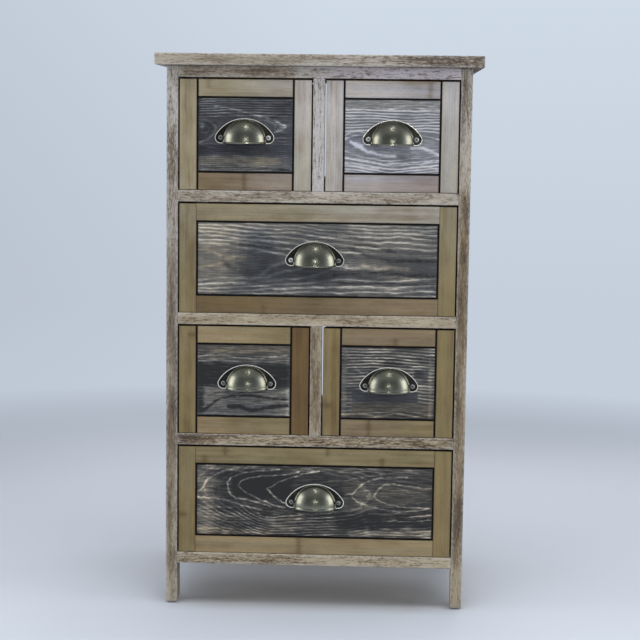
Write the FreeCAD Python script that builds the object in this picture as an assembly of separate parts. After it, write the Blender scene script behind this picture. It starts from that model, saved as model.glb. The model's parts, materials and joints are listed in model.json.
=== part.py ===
import FreeCAD, Part
import os

# A narrow chest of drawers: a post and rail case with an open back, and six inset drawers with cup pulls.
# Millimetres. X runs to the right, Y runs from the front to the back, Z runs up from the floor.
# The origin is on the floor, in the middle of the whole chest with its pulls.

# Case
case_width = 420.0
case_depth = 300.0
leg_clearance = 59.0
row_opening = 155.0
post_width = 16.0
post_depth = 35.0
post_ease = 1.2

# Top board
top_thickness = 16.0
top_side_overhang = 15.0
top_front_overhang = 15.0
top_ease = 1.5

# Front rails and the dividers between the paired drawers
rail_height = 16.0
rail_depth = 20.0
rail_ease = 0.8
divider_width = 16.0

# Back rails stand above the runners and stop the drawers
back_rail_thickness = 12.0
drawer_stop_height = 10.0

# Sides
side_rail_height = 30.0
side_rail_thickness = 16.0
side_panel_thickness = 5.0
side_panel_groove = 6.0

# Runners that carry the drawers, and the guide strip between the paired drawers
runner_width = 18.0
runner_thickness = 16.0
centre_runner_width = 46.0
guide_side_clearance = 1.5
guide_height = 12.0

# Dowels
frame_dowel_diameter = 8.0
frame_dowel_reach = 11.0
divider_dowel_diameter = 6.0
divider_dowel_reach = 9.0
dowel_hole_spare = 1.0
dowel_gap = 0.5

# Foot glides
glide_diameter = 9.0
glide_height = 2.5
glide_ease = 1.0
glide_pin_diameter = 2.0
glide_pin_length = 10.0

# Drawer fronts, inset between the posts and rails
front_side_gap = 2.0
front_top_gap = 2.5
front_bottom_gap = 0.5
front_setback = 0.5
front_board_thickness = 9.0
strip_width = 23.5
strip_thickness = 5.0
strip_ease = 0.7
face_groove = 2.5
panel_thickness = 4.7

# Drawer boxes
box_side_setback = 1.0
box_side_height = 148.0
box_wall_thickness = 9.0
box_back_drop = 6.0
box_back_inset = 9.0
box_housing_depth = 3.0
box_bottom_thickness = 3.0
box_bottom_rise = 8.0
box_bottom_groove = 4.0
runner_clearance = 0.3
stop_clearance = 0.5

# Cup pulls
pull_width = 82.0
pull_ear_margin = 3.5
pull_crown_margin = 1.9
pull_sheet = 1.4
pull_rim_width = 1.1
pull_rim_height = 0.7
cup_screw_gap = 1.6
cup_projection = 23.0
cup_skirt = 3.5
cup_lip_width = 1.2
cup_lip_height = 1.3
paired_pull_rise = 64.3
wide_pull_rise = 67.4

# Screws that hold the pulls
screw_head_diameter = 6.8
screw_head_height = 2.2
screw_head_ease = 0.9
screw_shank_diameter = 3.0
screw_shank_length = 11.0
screw_hole_clearance = 0.3
screw_cross_length = 3.8
screw_cross_width = 0.9
screw_cross_depth = 1.1

# The rows from the floor up, each with its drawers.
# A drawer is its name, its place in the row (-1 left, 0 across the whole row, 1 right) and how far its pull
# was screwed on to the right of the middle.
rows = [
    [("bottom", 0, 1.0)],
    [("lower_left", -1, 4.8), ("lower_right", 1, 1.4)],
    [("upper", 0, -3.3)],
    [("top_left", -1, -1.0), ("top_right", 1, 0.5)],
]
rail_names = ["bottom_rail", "lower_rail", "middle_rail", "upper_rail", "top_rail"]

# Places worked out from the sizes above
inner_half_width = case_width / 2 - post_width
row_pitch = rail_height + row_opening
case_top = leg_clearance + len(rows) * row_pitch + rail_height
pull_ear = screw_head_diameter / 2 + pull_ear_margin + pull_rim_width
pull_screw_spacing = pull_width - 2 * pull_ear
cup_radius = pull_screw_spacing / 2 - screw_head_diameter / 2 - cup_screw_gap
pull_height = cup_skirt + cup_radius + pull_crown_margin + pull_rim_width
pull_projection = cup_projection + cup_lip_width
pull_reach = pull_projection - front_setback - (strip_thickness - panel_thickness)
front_reach = max(pull_reach, top_front_overhang)
front_y = (front_reach - case_depth) / 2
back_y = front_y + case_depth
back_rail_y = back_y - back_rail_thickness
face_y = front_y + front_setback
front_board_y = face_y + strip_thickness
panel_y = front_board_y - panel_thickness
box_start_y = front_board_y + front_board_thickness
box_end_y = back_rail_y - stop_clearance
side_panel_half = side_panel_thickness / 2
post_middle_x = case_width / 2 - post_width / 2
front_rail_middle_y = front_y + rail_depth / 2
back_rail_middle_y = back_y - back_rail_thickness / 2

# Two places closer than this are one
same_place = 1e-4

UP = FreeCAD.Vector(0, 0, 1)
RIGHT = FreeCAD.Vector(1, 0, 0)
BACK = FreeCAD.Vector(0, 1, 0)


def rail_bottom(level):
    """Height of the underside of a front rail, counted from the floor up."""
    return leg_clearance + level * row_pitch


def rail_top(level):
    return rail_bottom(level) + rail_height


def block(low_x, high_x, low_y, high_y, low_z, high_z):
    """A straight piece of wood between two corners."""
    corner = FreeCAD.Vector(low_x, low_y, low_z)
    return Part.makeBox(high_x - low_x, high_y - low_y, high_z - low_z, corner)


def rod(start, direction, diameter, length):
    return Part.makeCylinder(diameter / 2, length, start, direction)


def mirrored(shape):
    """The same piece on the other side of the chest."""
    return shape.mirror(FreeCAD.Vector(0, 0, 0), RIGHT)


def ease(shape, radius, wanted):
    """Round the straight edges for which wanted(middle, direction) is true."""
    edges = []
    for edge in shape.Edges:
        if edge.Curve.TypeId == "Part::GeomLine":
            start = edge.Vertexes[0].Point
            end = edge.Vertexes[-1].Point
            direction = (end - start).normalize()
            if wanted((start + end) * 0.5, direction):
                edges.append(edge)
    return shape.makeFillet(radius, edges)


def same(first, second):
    return abs(first - second) < same_place


def along(direction, axis):
    return direction.cross(axis).Length < same_place


def save(name, *solids):
    """Keep one node of the model: a single solid, or a group of like solids."""
    shape = solids[0] if len(solids) == 1 else Part.makeCompound(list(solids))
    shape.exportStep("parts/" + name + ".step")


def dowel_and_hole(middle, direction, diameter, reach):
    """A dowel across a joint face at middle, and the longer hole that takes it."""
    dowel = rod(middle - direction * reach, direction, diameter, 2 * reach)
    hole_reach = reach + dowel_hole_spare
    hole = rod(middle - direction * hole_reach, direction, diameter, 2 * hole_reach)
    return dowel, hole


def frame_joints():
    """The dowels of the right-hand half of the case, of the left-hand half and of the dividers."""
    right = []
    for level in range(len(rail_names)):
        front_z = rail_bottom(level) + rail_height / 2
        right.append((FreeCAD.Vector(inner_half_width, front_rail_middle_y, front_z), RIGHT))
        right.append((FreeCAD.Vector(inner_half_width, back_rail_middle_y, front_z), RIGHT))
    for side_z in side_dowel_heights():
        right.append((FreeCAD.Vector(post_middle_x, front_y + post_depth, side_z), BACK))
        right.append((FreeCAD.Vector(post_middle_x, back_y - post_depth, side_z), BACK))
    for post_y in (front_y + clear_of_rail(rail_depth), back_y - clear_of_rail(back_rail_thickness)):
        right.append((FreeCAD.Vector(post_middle_x, post_y, case_top), UP))
    pairs = [dowel_and_hole(middle, way, frame_dowel_diameter, frame_dowel_reach) for middle, way in right]
    pairs += [(mirrored(dowel), mirrored(hole)) for dowel, hole in pairs]
    for level, row in enumerate(rows):
        if len(row) == 2:
            for joint_z in (rail_top(level), rail_bottom(level + 1)):
                middle = FreeCAD.Vector(0, front_rail_middle_y, joint_z)
                pairs.append(dowel_and_hole(middle, UP, divider_dowel_diameter, divider_dowel_reach))
    return pairs


def clear_of_rail(depth):
    """How far inside a post's face the top dowel stands, just clear of the dowel of the rail there."""
    return depth / 2 + frame_dowel_diameter + dowel_gap


def side_dowel_heights():
    """Heights of the side rails' dowels. The upper ones pass just below the dowels of the top board."""
    top_dowel_end = case_top - frame_dowel_reach - dowel_hole_spare
    return side_rail_middles()[0], top_dowel_end - dowel_gap - frame_dowel_diameter / 2


def side_rail_middles():
    """Heights of the middles of the lower and the upper side rail."""
    return (leg_clearance + side_rail_height / 2, case_top - side_rail_height / 2)


def drilled(shape, holes):
    """Take away the dowel holes that reach into a piece."""
    reaching = [hole for hole in holes if hole.BoundBox.intersect(shape.BoundBox)]
    return shape.cut(reaching) if reaching else shape


def make_top_board(holes):
    half = case_width / 2 + top_side_overhang
    front = front_y - top_front_overhang
    board = block(-half, half, front, back_y, case_top, case_top + top_thickness)

    def is_outer(middle, direction):
        on_face = same(middle.z, case_top) or same(middle.z, case_top + top_thickness)
        return on_face or along(direction, UP)

    return drilled(ease(board, top_ease, is_outer), holes)


def make_post(is_front, holes):
    """A right-hand post, grooved on its inner edge for the side panel."""
    low_y = front_y if is_front else back_y - post_depth
    high_y = low_y + post_depth
    outer = case_width / 2
    post = block(inner_half_width, outer, low_y, high_y, glide_height, case_top)
    show_y = low_y if is_front else high_y

    def is_eased(middle, direction):
        at_foot = same(middle.z, glide_height)
        shown = same(middle.y, show_y) or same(middle.x, outer)
        return at_foot or (along(direction, UP) and shown)

    post = ease(post, post_ease, is_eased)
    groove_low = leg_clearance + side_rail_height - side_panel_groove
    groove_high = case_top - side_rail_height + side_panel_groove
    groove_y = high_y - side_panel_groove if is_front else low_y
    groove = block(
        post_middle_x - side_panel_half, post_middle_x + side_panel_half,
        groove_y, groove_y + side_panel_groove, groove_low, groove_high,
    )
    pin_hole = rod(glide_seat(is_front), UP, glide_pin_diameter, glide_pin_length)
    return drilled(post.cut([groove, pin_hole]), holes)


def glide_seat(is_front):
    """The middle of the underside of a right-hand post."""
    middle_y = front_y + post_depth / 2 if is_front else back_y - post_depth / 2
    return FreeCAD.Vector(post_middle_x, middle_y, glide_height)


def make_glide(is_front):
    """A domed nail-on glide: a button on the floor and its pin in the post."""
    seat = glide_seat(is_front)
    button = rod(seat - UP * glide_height, UP, glide_diameter, glide_height)
    button = button.makeFillet(glide_ease, [edge for edge in button.Edges if same(edge.BoundBox.ZMax, 0)])
    pin = rod(seat, UP, glide_pin_diameter, glide_pin_length)
    return button.fuse(pin)


def make_side_rail(middle_z, holes):
    """A right-hand side rail between the posts, flush with their inner faces and grooved for the panel."""
    low_z = middle_z - side_rail_height / 2
    high_z = middle_z + side_rail_height / 2
    outer = inner_half_width + side_rail_thickness
    rail = block(inner_half_width, outer, front_y + post_depth, back_y - post_depth, low_z, high_z)
    is_lower = middle_z < case_top / 2
    groove_z = high_z - side_panel_groove if is_lower else low_z
    groove = block(
        post_middle_x - side_panel_half, post_middle_x + side_panel_half,
        front_y + post_depth, back_y - post_depth, groove_z, groove_z + side_panel_groove,
    )
    return drilled(rail.cut(groove), holes)


def make_side_panel():
    return block(
        post_middle_x - side_panel_half, post_middle_x + side_panel_half,
        front_y + post_depth - side_panel_groove, back_y - post_depth + side_panel_groove,
        leg_clearance + side_rail_height - side_panel_groove,
        case_top - side_rail_height + side_panel_groove,
    )


def make_front_rail(level, holes):
    rail = block(
        -inner_half_width, inner_half_width, front_y, front_y + rail_depth,
        rail_bottom(level), rail_top(level),
    )

    def is_front_edge(middle, direction):
        return same(middle.y, front_y) and along(direction, RIGHT)

    return drilled(ease(rail, rail_ease, is_front_edge), holes)


def make_divider(level, holes):
    divider = block(
        -divider_width / 2, divider_width / 2, front_y, front_y + rail_depth,
        rail_top(level), rail_bottom(level + 1),
    )

    def is_front_edge(middle, direction):
        return same(middle.y, front_y) and along(direction, UP)

    return drilled(ease(divider, rail_ease, is_front_edge), holes)


def make_back_rail(level, holes):
    """A back rail. All but the top one reach up behind the drawers and stop them."""
    stop = drawer_stop_height if level < len(rows) else 0
    rail = block(
        -inner_half_width, inner_half_width, back_rail_y, back_y,
        rail_bottom(level), rail_top(level) + stop,
    )
    return drilled(rail, holes)


def make_runner(level, low_x, high_x):
    top = rail_top(level)
    return block(low_x, high_x, front_y + rail_depth, back_rail_y, top - runner_thickness, top)


def make_guide(level):
    """The strip between two paired drawers, which keeps their boxes apart and straight."""
    half = divider_width / 2 + front_side_gap + box_side_setback - guide_side_clearance
    top = rail_top(level)
    return block(-half, half, front_y + rail_depth, back_rail_y, top, top + guide_height)


def make_runners():
    pieces = []
    for level, row in enumerate(rows):
        runner = make_runner(level, inner_half_width - runner_width, inner_half_width)
        pieces += [runner, mirrored(runner)]
        if len(row) == 2:
            pieces.append(make_runner(level, -centre_runner_width / 2, centre_runner_width / 2))
            pieces.append(make_guide(level))
    return pieces


def front_span(place):
    """Left and right ends of a drawer front, for its place in the row."""
    edge = inner_half_width - front_side_gap
    inner = divider_width / 2 + front_side_gap
    if place == 0:
        return -edge, edge
    return (inner, edge) if place > 0 else (-edge, -inner)


def make_front_board(left, right, low, high):
    """The dark board behind the strips, housed for the box sides and grooved for the bottom."""
    board = block(left, right, front_board_y, box_start_y, low, high)
    cuts = []
    side_low, side_high = box_heights(low)
    for side_left in box_side_places(left, right):
        cuts.append(block(
            side_left, side_left + box_wall_thickness, box_start_y - box_housing_depth, box_start_y,
            side_low, side_high,
        ))
    bottom_low = side_low + box_bottom_rise
    first, second = box_side_places(left, right)
    cuts.append(block(
        first + box_wall_thickness, second, box_start_y - box_housing_depth, box_start_y,
        bottom_low, bottom_low + box_bottom_thickness,
    ))
    return board.cut(cuts)


def box_heights(front_low):
    """Lower and upper edges of a box side, which rides just clear of the runners."""
    low = front_low - front_bottom_gap + runner_clearance
    return low, low + box_side_height


def box_side_places(left, right):
    """Left faces of the two box sides."""
    return left + box_side_setback, right - box_side_setback - box_wall_thickness


def make_box_walls(left, right, low):
    """Two sides housed in the front board, and the back housed between them."""
    side_low, side_high = box_heights(low)
    groove_low = side_low + box_bottom_rise
    groove_high = groove_low + box_bottom_thickness
    side_start = box_start_y - box_housing_depth
    back_end = box_end_y - box_back_inset
    back_start = back_end - box_wall_thickness
    first, second = box_side_places(left, right)
    first_inner = first + box_wall_thickness
    left_side = block(first, first_inner, side_start, box_end_y, side_low, side_high)
    right_side = block(second, second + box_wall_thickness, side_start, box_end_y, side_low, side_high)
    groove = block(
        first_inner - box_bottom_groove, second + box_bottom_groove,
        side_start, box_end_y, groove_low, groove_high,
    )
    back_left = first_inner - box_housing_depth
    back_right = second + box_housing_depth
    housing = block(back_left, back_right, back_start, back_end, groove_high, side_high)
    back = block(back_left, back_right, back_start, back_end, groove_high, side_high - box_back_drop)
    return [left_side.cut([groove, housing]), right_side.cut([groove, housing]), back]


def make_box_bottom(left, right, low):
    side_low, side_high = box_heights(low)
    bottom_low = side_low + box_bottom_rise
    bottom_high = bottom_low + box_bottom_thickness
    bottom_end = box_end_y - box_back_inset
    first, second = box_side_places(left, right)
    first_inner = first + box_wall_thickness
    tongue_y = box_start_y - box_housing_depth
    middle = block(first_inner, second, tongue_y, bottom_end, bottom_low, bottom_high)
    tongues = block(
        first_inner - box_bottom_groove, second + box_bottom_groove,
        box_start_y, bottom_end, bottom_low, bottom_high,
    )
    return middle.fuse(tongues).removeSplitter()


def make_strip(left, right, low, high):
    """One applied strip of a drawer face, with its four front edges eased."""
    strip = block(left, right, face_y, front_board_y, low, high)

    def is_front_edge(middle, direction):
        return same(middle.y, face_y)

    return ease(strip, strip_ease, is_front_edge)


def make_face_strips(left, right, low, high, is_wide):
    """Two stiles with two rails between them. Only the paired drawers have a groove at the rails' ends."""
    end_gap = 0 if is_wide else face_groove
    rail_left = left + strip_width + end_gap
    rail_right = right - strip_width - end_gap
    return [
        make_strip(left, left + strip_width, low, high),
        make_strip(right - strip_width, right, low, high),
        make_strip(rail_left, rail_right, low, low + strip_width),
        make_strip(rail_left, rail_right, high - strip_width, high),
    ]


def make_face_panel(left, right, low, high):
    margin = strip_width + face_groove
    panel = block(left + margin, right - margin, panel_y, front_board_y, low + margin, high - margin)

    def is_front_edge(middle, direction):
        return same(middle.y, panel_y)

    return ease(panel, strip_ease, is_front_edge)


def flange_face(inset):
    """The flange's outline in the XZ plane: a flat foot, two round ears and one arc over the top."""
    ear_x = pull_screw_spacing / 2
    shoulder = pull_height - pull_ear
    arc = (ear_x ** 2 + shoulder ** 2 - pull_ear ** 2) / (2 * (pull_height - 2 * pull_ear))
    arc_z = pull_height - arc
    slope = FreeCAD.Vector(ear_x, 0, pull_ear - arc_z).normalize()
    ear_middle = FreeCAD.Vector(ear_x, 0, pull_ear)
    foot = FreeCAD.Vector(ear_x, 0, inset)
    joint = ear_middle + slope * (pull_ear - inset)
    diagonal = (FreeCAD.Vector(0, 0, -1) + slope).normalize()
    ear_side = ear_middle + diagonal * (pull_ear - inset)
    crown = FreeCAD.Vector(0, 0, pull_height - inset)

    def left(point):
        return FreeCAD.Vector(-point.x, point.y, point.z)

    edges = [
        Part.LineSegment(left(foot), foot).toShape(),
        Part.Arc(foot, ear_side, joint).toShape(),
        Part.Arc(joint, crown, left(joint)).toShape(),
        Part.Arc(left(joint), left(ear_side), left(foot)).toShape(),
    ]
    return Part.Face(Part.Wire(edges))


def cup_solid(radius, behind):
    """A ball cut flat at the drawer face, over a straight skirt. The face is the plane Y = 0."""
    middle = FreeCAD.Vector(0, behind, cup_skirt)
    ball = Part.makeSphere(radius, middle)
    skirt = Part.makeCylinder(radius, cup_skirt, FreeCAD.Vector(0, behind, 0))
    reach = 2 * radius
    above = block(-reach, reach, -reach, 0, cup_skirt, cup_skirt + reach)
    below = block(-reach, reach, -reach, 0, 0, cup_skirt)
    return ball.common(above).fuse(skirt.common(below))


def make_pull(middle_x, low_z):
    """A cup pull pressed from one sheet: a rimmed flange and a cup that is open below."""
    flange = flange_face(0).extrude(BACK * -pull_sheet)
    rim = flange_face(0).extrude(BACK * -(pull_sheet + pull_rim_height))
    rim = rim.cut(flange_face(pull_rim_width).extrude(BACK * -(pull_sheet + pull_rim_height)))
    ball_radius = (cup_radius ** 2 + cup_projection ** 2) / (2 * cup_projection)
    behind = ball_radius - cup_projection
    lip = Part.makeCylinder(ball_radius + cup_lip_width, cup_lip_height, FreeCAD.Vector(0, behind, 0))
    front_space = block(-pull_width, pull_width, -pull_width, 0, 0, cup_lip_height)
    pull = flange.fuse([rim, cup_solid(ball_radius, behind), lip.common(front_space)])
    pull = pull.cut(cup_solid(ball_radius - pull_sheet, behind))
    hole_diameter = screw_shank_diameter + screw_hole_clearance
    for screw_x, screw_z in screw_places(0, 0):
        start = FreeCAD.Vector(screw_x, -pull_width, screw_z)
        pull = pull.cut(rod(start, BACK, hole_diameter, 2 * pull_width))
    pull = pull.removeSplitter()
    return pull.translated(FreeCAD.Vector(middle_x, panel_y, low_z))


def screw_places(middle_x, low_z):
    """The middles of the two ears of a pull."""
    half = pull_screw_spacing / 2
    return [(middle_x - half, low_z + pull_ear), (middle_x + half, low_z + pull_ear)]


def make_screw(middle_x, middle_z):
    """A pan-head screw with a cross recess, through the flange into the drawer face."""
    seat_y = panel_y - pull_sheet
    seat = FreeCAD.Vector(middle_x, seat_y, middle_z)
    head = rod(seat - BACK * screw_head_height, BACK, screw_head_diameter, screw_head_height)
    head_front = seat_y - screw_head_height
    crown = [edge for edge in head.Edges if same(edge.BoundBox.YMax, head_front)]
    head = head.makeFillet(screw_head_ease, crown)
    shank = rod(seat, BACK, screw_shank_diameter, screw_shank_length)
    screw = head.fuse(shank)
    long_half = screw_cross_length / 2
    slim_half = screw_cross_width / 2
    for half_x, half_z in ((long_half, slim_half), (slim_half, long_half)):
        screw = screw.cut(block(
            middle_x - half_x, middle_x + half_x, head_front, head_front + screw_cross_depth,
            middle_z - half_z, middle_z + half_z,
        ))
    return screw


def make_drawer(name, place, pull_shift, level):
    left, right = front_span(place)
    low = rail_top(level) + front_bottom_gap
    high = rail_bottom(level + 1) - front_top_gap
    is_wide = place == 0
    pull_x = (left + right) / 2 + pull_shift
    pull_z = low + (wide_pull_rise if is_wide else paired_pull_rise)
    board = make_front_board(left, right, low, high)
    panel = make_face_panel(left, right, low, high)
    screws = [make_screw(*spot) for spot in screw_places(pull_x, pull_z)]
    for screw_x, screw_z in screw_places(pull_x, pull_z):
        start = FreeCAD.Vector(screw_x, panel_y - pull_sheet, screw_z)
        hole = rod(start, BACK, screw_shank_diameter, screw_shank_length)
        board = board.cut(hole)
        panel = panel.cut(hole)
    save(name + "_front_board", board)
    save(name + "_face_strips", *make_face_strips(left, right, low, high, is_wide))
    save(name + "_face_panel", panel)
    save(name + "_box_walls", *make_box_walls(left, right, low))
    save(name + "_box_bottom", make_box_bottom(left, right, low))
    save(name + "_pull", make_pull(pull_x, pull_z))
    save(name + "_pull_screws", *screws)


def make_case():
    joints = frame_joints()
    holes = [hole for dowel, hole in joints]
    save("frame_dowels", *[dowel for dowel, hole in joints])
    save("top_board", make_top_board(holes))
    for word, is_front in (("front", True), ("back", False)):
        post = make_post(is_front, holes)
        save("right_" + word + "_post", post)
        save("left_" + word + "_post", mirrored(post))
    side_rails = [make_side_rail(middle_z, holes) for middle_z in side_rail_middles()]
    save("side_rails", *side_rails, *[mirrored(rail) for rail in side_rails])
    save("right_side_panel", make_side_panel())
    save("left_side_panel", mirrored(make_side_panel()))
    for level, name in enumerate(rail_names):
        save(name, make_front_rail(level, holes))
    save("front_dividers", *[make_divider(level, holes) for level, row in enumerate(rows) if len(row) == 2])
    save("back_rails", *[make_back_rail(level, holes) for level in range(len(rail_names))])
    save("drawer_runners", *make_runners())
    glides = [make_glide(True), make_glide(False)]
    save("foot_glides", *glides, *[mirrored(glide) for glide in glides])


os.makedirs("parts", exist_ok=True)
make_case()
for level, row in enumerate(rows):
    for name, place, pull_shift in row:
        make_drawer(name, place, pull_shift, level)
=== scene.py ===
import json
import math
from collections import namedtuple

import bmesh
import bpy
from bpy.props import FloatProperty, FloatVectorProperty, PointerProperty
from bpy.types import Operator, Panel, PropertyGroup
from mathutils import Color, Matrix, Vector, noise

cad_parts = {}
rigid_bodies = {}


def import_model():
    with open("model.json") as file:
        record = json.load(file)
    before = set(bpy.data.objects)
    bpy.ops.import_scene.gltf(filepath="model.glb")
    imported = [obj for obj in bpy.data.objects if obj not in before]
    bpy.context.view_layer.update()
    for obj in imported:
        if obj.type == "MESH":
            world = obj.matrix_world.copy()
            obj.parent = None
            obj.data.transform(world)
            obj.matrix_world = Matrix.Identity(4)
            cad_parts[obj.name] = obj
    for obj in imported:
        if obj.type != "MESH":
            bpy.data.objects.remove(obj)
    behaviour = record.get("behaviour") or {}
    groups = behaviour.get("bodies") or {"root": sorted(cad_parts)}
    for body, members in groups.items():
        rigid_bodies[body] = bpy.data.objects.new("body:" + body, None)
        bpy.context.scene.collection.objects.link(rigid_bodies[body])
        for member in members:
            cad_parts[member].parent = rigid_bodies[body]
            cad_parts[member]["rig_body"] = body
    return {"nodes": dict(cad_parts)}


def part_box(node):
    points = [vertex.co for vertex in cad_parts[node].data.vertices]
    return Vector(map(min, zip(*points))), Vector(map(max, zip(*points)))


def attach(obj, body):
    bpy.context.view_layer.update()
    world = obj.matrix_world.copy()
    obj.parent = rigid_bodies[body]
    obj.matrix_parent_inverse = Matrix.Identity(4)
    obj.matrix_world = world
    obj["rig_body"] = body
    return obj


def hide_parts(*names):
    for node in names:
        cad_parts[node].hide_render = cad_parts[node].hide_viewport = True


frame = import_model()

bl_info = {
    "name": "Limewashed chest of drawers",
    "version": (1, 0, 0),
    "blender": (4, 5, 0),
    "location": "View3D > Sidebar > Chest",
    "description": "Dresses the frame of a narrow chest of drawers in limewashed wood and aged bronze",
    "category": "Object",
}

MM = 0.001
X, Y, Z = range(3)
RIGHT = Vector((1, 0, 0))
BACK = Vector((0, 1, 0))
UP = Vector((0, 0, 1))
AXES = (RIGHT, BACK, UP)
WELD = 0.01 * MM
DRAWERS = ("top_left", "top_right", "upper", "lower_left", "lower_right", "bottom")
RAILS = ("bottom_rail", "lower_rail", "middle_rail", "upper_rail", "top_rail")


# Settings that a user would change

def colour_setting(name, description, default):
    return FloatVectorProperty(
        name=name, description=description, subtype="COLOR_GAMMA", size=3, min=0.0, max=1.0,
        default=default,
    )


def length_setting(name, description, default, least=0.0):
    """A size, in millimetres."""
    return FloatProperty(
        name=name, description=description, subtype="DISTANCE", unit="LENGTH", min=least * MM,
        default=default * MM,
    )


def angle_setting(name, description, default):
    """A turn, in degrees."""
    return FloatProperty(
        name=name, description=description, subtype="ANGLE", unit="ROTATION",
        default=math.radians(default),
    )


class ChestWoodSettings(PropertyGroup):
    lime: colour_setting("Lime", "Lime left in the pores and on worn edges", (0.72, 0.705, 0.685))
    pale: colour_setting("Pale frame wood", "The frame's lighter streaks", (0.615, 0.59, 0.555))
    brown: colour_setting("Brown frame wood", "The frame's darker streaks", (0.475, 0.43, 0.375))
    dark: colour_setting("Dark flecks", "The darkest flecks of the frame", (0.29, 0.25, 0.225))
    black: colour_setting("Black board", "The board behind the face strips", (0.085, 0.08, 0.08))
    plain: colour_setting("Plain wood", "Drawer boxes, runners and back rails", (0.72, 0.63, 0.50))
    plain_dark: colour_setting("Plain wood, dark grain", "Grain of the plain wood", (0.58, 0.47, 0.34))
    box_wall: length_setting("Box wall", "Thickness of the drawer boxes' walls", 9.0)
    box_back_drop: length_setting("Box back", "How far a box's back stands below its sides", 6.0)
    board_ease: length_setting("Board edge", "Radius of a board's worn edges", 1.2)
    wear_depth: length_setting("Edge wear", "How far the edges are worn back at most", 0.5)


class ChestFaceSettings(PropertyGroup):
    straw: colour_setting("Straw", "Pale yellowish bamboo", (0.57, 0.53, 0.43))
    cream: colour_setting("Cream", "Pale bamboo with little colour", (0.605, 0.58, 0.535))
    ash: colour_setting("Ash", "The palest grey bamboo", (0.68, 0.655, 0.635))
    mauve: colour_setting("Mauve", "Cool grey bamboo", (0.61, 0.585, 0.58))
    rose: colour_setting("Rose", "Pinkish grey bamboo", (0.53, 0.49, 0.48))
    clay: colour_setting("Clay", "Pinkish brown bamboo", (0.535, 0.485, 0.43))
    copper: colour_setting("Copper", "Reddish brown bamboo", (0.475, 0.41, 0.31))
    moss: colour_setting("Moss", "Light green-brown bamboo", (0.515, 0.475, 0.375))
    olive: colour_setting("Olive", "Green-brown bamboo", (0.487, 0.432, 0.30))
    golden: colour_setting("Golden", "Yellow-brown bamboo", (0.48, 0.417, 0.272))
    honey: colour_setting("Honey", "Light golden bamboo", (0.54, 0.475, 0.35))
    umber: colour_setting("Umber", "Brown bamboo", (0.395, 0.325, 0.205))
    russet: colour_setting("Russet", "Red-brown bamboo", (0.38, 0.29, 0.15))
    panel_black: colour_setting("Panel black", "Darkest stain of the panels", (0.10, 0.10, 0.105))
    panel_slate: colour_setting("Panel slate", "Main stain of the panels", (0.265, 0.27, 0.28))
    panel_grey: colour_setting("Panel grey", "Thin lime over the stain", (0.46, 0.46, 0.455))
    panel_lime: colour_setting("Panel lime", "Thick lime in the grain", (0.77, 0.765, 0.745))
    strip_width: length_setting("Strip width", "Width of the face strips", 23.5)
    relief: length_setting("Panel relief", "Depth of the brushed grain", 0.3)
    grid: length_setting("Panel grid", "Spacing of the panels' mesh", 0.9)


class ChestPullSettings(PropertyGroup):
    ear: length_setting("Ear radius", "Radius of the two round ears", 8.0)
    sheet: length_setting("Sheet", "Thickness of the pressed sheet", 1.4)
    rim_width: length_setting("Rim width", "Width of the raised rim", 1.1)
    rim_height: length_setting("Rim height", "Height of the raised rim", 0.7)
    cup_radius: length_setting("Cup radius", "Half width of the cup at the face", 28.0)
    cup_projection: length_setting("Cup projection", "How far the cup stands out", 23.0)
    skirt: length_setting("Skirt", "Straight part below the cup's round", 3.5)
    fillet: length_setting("Fillet", "Round between the flange and the cup", 2.2)
    lip: length_setting("Lip", "How far the lower edge turns out", 1.2)
    lip_height: length_setting("Lip height", "Height of the turned edge", 1.3)
    shoulder: length_setting("Shoulder", "Round between the cup's wall and its dome", 2.5)
    brow: angle_setting("Brow", "How steep the dome is at the shoulder", 50)
    head_height: length_setting("Screw head", "Height of the screws' heads", 2.2)
    shank: length_setting("Screw shank", "Radius of the screws' shanks", 1.5)
    cross_long: length_setting("Cross length", "Half the length of a screw's cross", 2.1)
    cross_slim: length_setting("Cross width", "Half the width of the cross's arms", 0.8)
    cross_depth: length_setting("Cross depth", "How deep the cross is pressed", 1.0)
    bronze: colour_setting("Bronze", "Polished places of the cup", (0.58, 0.575, 0.51))
    patina: colour_setting("Patina", "Dark patina", (0.18, 0.178, 0.155))
    rim: colour_setting("Rim", "Rubbed bright rim of the flange", (0.96, 0.95, 0.92))
    steel: colour_setting("Screw steel", "Heads of the screws", (0.86, 0.86, 0.85))


class ChestStageSettings(PropertyGroup):
    floor: colour_setting("Floor", "Floor around the chest", (0.765, 0.787, 0.825))
    backdrop: colour_setting("Backdrop", "Backdrop behind the chest", (0.79, 0.83, 0.88))
    sky: colour_setting("Sky", "Soft light from all sides", (0.90, 0.93, 0.97))
    sky_strength: FloatProperty(
        name="Sky strength", description="Strength of the light from all sides", min=0.0, default=0.47,
    )
    camera_side: length_setting("Camera side", "How far right of the middle the camera stands", 99.8, -5000)
    camera_distance: length_setting("Camera distance", "From the front of the posts to the camera", 2303.2)
    camera_height: length_setting("Camera height", "Height of the camera above the floor", 682.7)
    pitch: angle_setting("Pitch", "How far the camera looks down", 6.749)
    yaw: angle_setting("Yaw", "How far the camera looks to the left", 2.354)
    roll: angle_setting("Roll", "How far the camera is turned clockwise", 0.724)
    lens: FloatProperty(
        name="Lens", description="Focal length in millimetres", subtype="DISTANCE_CAMERA", unit="CAMERA",
        default=93.8,
    )


# Small helpers

def linear(colour):
    """A colour as seen on a screen, made ready for a shader."""
    return tuple(Color(tuple(colour)).from_srgb_to_scene_linear()) + (1.0,)


def shaded(colour, share):
    """A shader's colour, made darker or paler by a share."""
    return tuple(channel * share for channel in colour[:3]) + (1.0,)


def clamp(value, low=0.0, high=1.0):
    return min(max(value, low), high)


def smooth(value, start, end):
    """From 0 at start to 1 at end, without a corner."""
    share = clamp((value - start) / (end - start))
    return share * share * (3 - 2 * share)


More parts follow.
